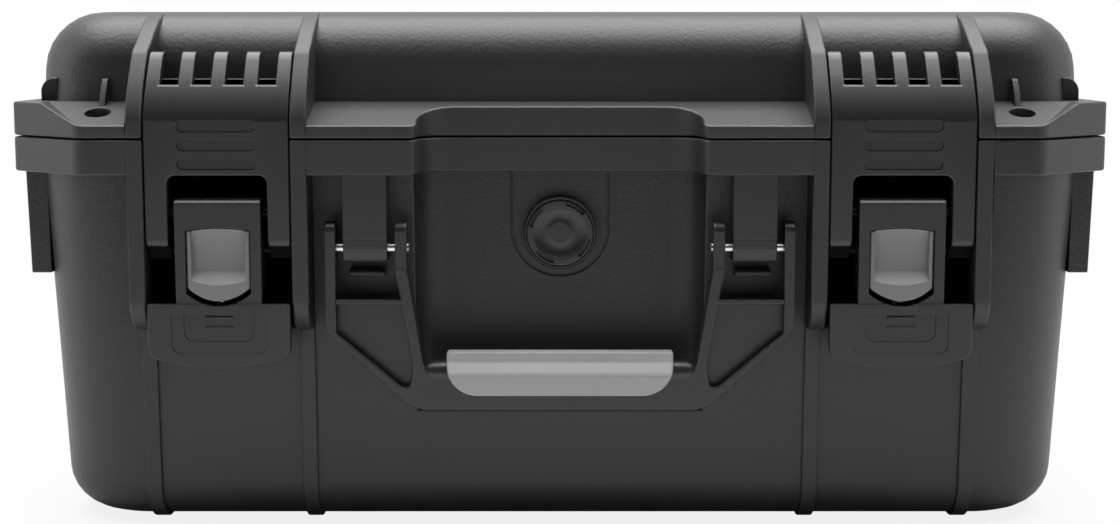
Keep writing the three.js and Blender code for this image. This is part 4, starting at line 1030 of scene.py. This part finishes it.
def lever_solid():
    side = [(0, -lever_top - 1.15), (1.15, -lever_top), (9.6, -lever_top), (12, -22.4), (12, -42), (3, -56.2),
            (0, -56.2)]
    neck = softened(prism("X", side, -lever_half, lever_half), 0.4)
    corner = [(flap_half, -69.9), (flap_half - 0.5, -72.2), (flap_half - 1.8, -73.7), (flap_half - 4, -flap_side)]
    lower = [(20 * share, -flap_side - (flap_low - flap_side) * (1 - share ** 2))
             for share in [1 - k / 7 for k in range(1, 7)]]
    right = [(flap_half, -flap_top)] + corner + lower
    flap = softened(prism("Y", both_sides(right, [(0, -flap_low)]), flap_front, 3), 0.5)
    flap = cut(flap, prism("Y", stepped(16.1, 72.1), -2, flap_front + 0.5),
               prism("Y", stepped(11.8, 67.9), -2, flap_front + 1))
    softened(flap, 0.3, least=60)
    bar = softened(box_of((-bar_half, bar_half), (flap_front + 0.4, 0.4), (bar_low, bar_low + 1.1)), 0.3)
    bars = row(bar, 2, (0, 0, bar_pitch))
    seat = box_of((-4, 4), (0.5, 8.45), (-60.6, -59))
    core = box_of((-lever_half + 2.6, lever_half - 2.6), (3, 13), (-flap_top, -22.4))
    window = prism("Y", button_line(0.3, spring_travel), -3, 4)
    bores = [bore(place, latch_bore, -20, 20) for place in (lever_pin_place, claw_pin_place)]
    neck = softened(cut(neck, core, window, *bores), 0.3, segments=2, least=75)
    return gathered(neck, cut(flap, window), bars, seat)


# Release buttons: grey satin plastic, crowned across the front, with a thumb scoop that ends in a ledge.
# A plate behind the lever's face holds each in, and a wire spring under its lug returns it.
button_plastic = moulded("grey button plastic", (0.16, 0.16, 0.159), 0.38, 0.0006, 0.00003,
                         mottle=0.06)
scoop_half = 9.1
scoop_depth = 3.0
scoop_drop = 14.7


def button_solid():
    shares = [k / 12 - 1 for k in range(25)]
    crown = both_sides([(-button_half - 1, 5), (-button_half - 1, 1.2)],
                       [(button_half * share, -1 + 1.7 * share ** 2) for share in shares])
    face = cut(prism("Y", button_line(), -3, 4.4), prism("Z", crown, -60, -20), operation="INTERSECT")
    softened(face, 0.3, segments=2, least=50)
    scoop_back = [(0.2 + scoop_depth * sin(turn), -29.0 - scoop_drop * (1 - cos(turn)))
                  for turn in [pi / 2 * k / 10 for k in range(1, 11)]]
    scoop_line = [(-4, -26), (0.2, -26), (0.2, -29)] + scoop_back + [(-1.2, -48.9), (-4, -48.9)]
    face = cut(face, prism("X", scoop_line, -scoop_half, scoop_half))
    softened(face, 0.3, segments=2, least=50)
    plate = box_of((-11.6, 11.6), (3.3, 5.5), (-50, -button_top))
    lug = box_of((-3, 3), (3.5, 8.45), (-50, -47.6))
    return gathered(face, softened(plate, 0.2), softened(lug, 0.2))


def grow_coil(nodes, given):
    helix = nodes.add("GeometryNodeCurveSpiral", {
        "Resolution": 20, "Rotations": given["Turns"], "Start Radius": given["Radius"],
        "End Radius": given["Radius"], "Height": given["Length"]})
    wire_round = nodes.add("GeometryNodeCurvePrimitiveCircle", {"Resolution": 8, "Radius": given["Wire radius"]})
    return nodes.add("GeometryNodeCurveToMesh", {"Curve": helix, "Profile Curve": wire_round, "Fill Caps": True})


spring_low = -58.35
spring_high = -50.65
spring_depth = 6.45
coil = node_group("coil spring", {name: "Float" for name in ("Radius", "Wire radius", "Turns", "Length")}, grow_coil)
for side, middle in latch_places.items():
    lever = "lever_" + side
    for name, solid, body, finish, node in (
            ("claw_plate_", claw_solid(), "claw_" + side, latch_plastic, "latch_claw_"),
            ("claw_eyes_", claw_eyes(), "claw_" + side, shade_black_plastic, "latch_claw_"),
            ("lever_pull_", lever_solid(), lever, latch_plastic, "latch_lever_"),
            ("button_face_", button_solid(), "button_" + side, button_plastic, "latch_button_")):
        piece(name + side, shifted(solid, x=middle), body, finish, node + side)
    spring_length = spring_high - spring_low
    spring = grown(coil, {"Radius": 1.7, "Wire radius": 0.35, "Turns": 5.0, "Length": spring_length,
                          "Finish": pin_steel})
    spring = piece("button_coil_" + side, shifted(spring, x=middle, y=spring_depth, z=spring_low), lever, pin_steel,
                   "button_spring_" + side)
    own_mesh(spring)
    # The latch pins take near-black steel as painted shade for their dark gaps.
    for name, body, place, half in (("lever_pin_", "base", lever_pin_place, bay_half + rib_width),
                                    ("claw_pin_", lever, claw_pin_place, (window_half + claw_half) / 2)):
        piece(name + side + "_rod", pin(middle - half, middle + half, *place, latch_pin_radius), body, shade_black_steel,
              name + side)

# Handle: one moulded frame with two arms at each end on a steel pin, a blind pocket in each corner plate and a
# bar under the grip, which is moulded over it in grey.
handle_front = 2
handle_back = 10
outer_arm = (75.7, 79.5)
inner_arm = (51.7, 55.7)
arm_top = 27.6
nub_depth = 5.6
nub_drop = 79.3
handle_pin_radius = 1.6


def handle_solid():
    def arm(x, foot):
        return mirrored(prism("X", rounded([(handle_front, -foot), (handle_front, -arm_top, 3.6),
                                            (handle_back, -arm_top, 3.6), (handle_back, -foot)], 8), *x))
    half_line = [(46, -92.1), (51.6, -90.4, 6), (79.5, -64, 5), (79.5, -54.1), (53.9, -54.1), (55.7, -44.3),
                 (51.7, -44.3), (46.3, -76, 9), (45.2, -78.6, 3), (42.6, -80.6, 3)]
    line = rounded(both_sides(half_line), 5)
    pocket = rounded([(75.7, -55.7), (53.5, -55.7), (49.9, -76, 12), (50.9, -84.2, 2), (53.4, -84.2, 2),
                      (75.7, -65.6, 1.5)], 5)
    plate = cut(prism("Y", line, handle_front, handle_back),
                mirrored(prism("Y", pocket, handle_front - 1, handle_back - 3.4)))
    frame_solid = cut(plate, arm(outer_arm, 56.3), arm(inner_arm, 45.6), operation="UNION")
    softened(frame_solid, 0.6)
    bend = prism("X", [(1, -42.4), (handle_front + 0.5, -42.4), (handle_front + 0.5, -43.6), (1, -43.6)],
                 inner_arm[0] - 1, inner_arm[1] + 1)
    frame_solid = cut(cut(frame_solid, mirrored(bend)), bore((pin_depth, -pin_drop), pin_bore, -85, 85))
    nub = turned([(37.5, 0), (37.5, 4.1), (43.0, 4.1), (44.9, 3.6), (46.4, 2.4), (47.2, 0)], 32)
    bar = box_of((-38, 38), (4, 8), (-85, -74))
    return gathered(frame_solid, mirrored(shifted(nub, y=nub_depth, z=-nub_drop)), bar)


piece("handle_moulding", handle_solid(), "handle", latch_plastic, "handle_frame")
for side, sign in (("left", -1), ("right", 1)):
    ends = sorted((sign * (inner_arm[0] - 0.9), sign * (outer_arm[1] + 0.45)))
    piece("handle_pin_" + side + "_rod", pin(*ends, pin_depth, -pin_drop, handle_pin_radius), "base", pin_steel,
          "handle_pin_" + side)

grip_plastic = moulded("pale grey grip plastic", (0.31, 0.31, 0.308), 0.44, 0.0006, 0.00003,
                       mottle=0.05)
grip_half = 38.5
grip_top = 72
grip_low = 86.6


def grip_solid():
    front = rounded(both_sides([(-grip_half, -grip_top), (-grip_half, -grip_low, 10.5)]), 12)
    profile = rounded([(-0.9, -grip_low), (12.6, -grip_low), (12.6, -78, 5), (9.6, -72.6, 2.5), (7.5, -grip_top),
                       (2.3, -grip_top, 0.5), (2.3, -75.2, 1.5), (-0.9, -79.3, 2.5)], 8)
    solid = cut(prism("Y", front, -2, 14), prism("X", profile, -grip_half - 1, grip_half + 1),
                operation="INTERSECT")
    softened(solid, 0.8, least=50)
    return cut(solid, box_of((-50, 50), (1.7, 10.3), (-95, -80.3)))


piece("grip_moulding", grip_solid(), "handle", grip_plastic, "handle_grip")

# Pressure vent: a turned body screwed through the wall on a rubber ring, with a dished cap. Four curved slots let
# the air past a membrane, and a nut holds it from inside.
vent_front = 22.0
vent_radius = 12.65
vent_sides = 64
slot_outer = 10.9
slot_inner = 9.7
slot_spread = radians(40)
slot_start = radians(-58.4)


def vent_turned(profile):
    """A turned part of the vent: its profile gives depths behind the vent's front, and radii."""
    profile = [(vent_front + along, radius) for along, radius in profile]
    return shifted(turned(profile, vent_sides, "Y"), z=-vent_drop)


def vent_cap_solid():
    cap = vent_turned([(0.3, 0), (0.3, 3.4), (0.55, 4.0), (0.8, 5.6), (0.55, 7.4), (-0.1, 8.7), (-0.5, 9.2),
                       (-0.6, 9.5), (-0.6, 10.9), (-0.45, 11.35), (0.6, 11.35), (1.4, 11.3), (1.4, 0)])
    angles = [slot_spread * (k / 10 - 0.5) for k in range(11)]
    ring = [(slot_outer * cos(a), slot_outer * sin(a)) for a in angles] + [
        (slot_inner * cos(a), slot_inner * sin(a)) for a in reversed(angles)]
    slots = row(prism("Y", ring, vent_front - 2, vent_front + 3), 4, turn=pi / 2)
    bmesh.ops.rotate(slots, verts=slots.verts, matrix=Matrix.Rotation(slot_start, 3, "Y"))
    return cut(cap, shifted(slots, z=-vent_drop))


piece("vent_cap_disc", vent_cap_solid(), "base", latch_plastic, "vent_cap")
vent_body = vent_turned([(2.2, 0), (1.8, 5.3), (1.8, 11.6), (-0.1, 11.6), (-0.35, 11.85), (-0.35, 12.2),
                         (0.1, vent_radius), (2.9, vent_radius), (3.2, 12.3), (3.2, 6), (15.5, 6), (15.5, 0)])
piece("vent_body_ring", vent_body, "base", latch_plastic, "vent_body", "vent_membrane")
vent_seal = vent_turned([(3.35, 8), (3.35, 10.8), (3.6, 11), (4.1, 11), (4.35, 10.8), (4.35, 8), (3.35, 8)])
piece("vent_seal_ring", vent_seal, "base", rubber, "vent_seal")
nut = softened(prism("Y", disc((0, -vent_drop), 10, 6), 30.3, 34.3), 0.5)
piece("vent_nut_hex", cut(nut, vent_hole), "base", latch_plastic, "vent_nut")
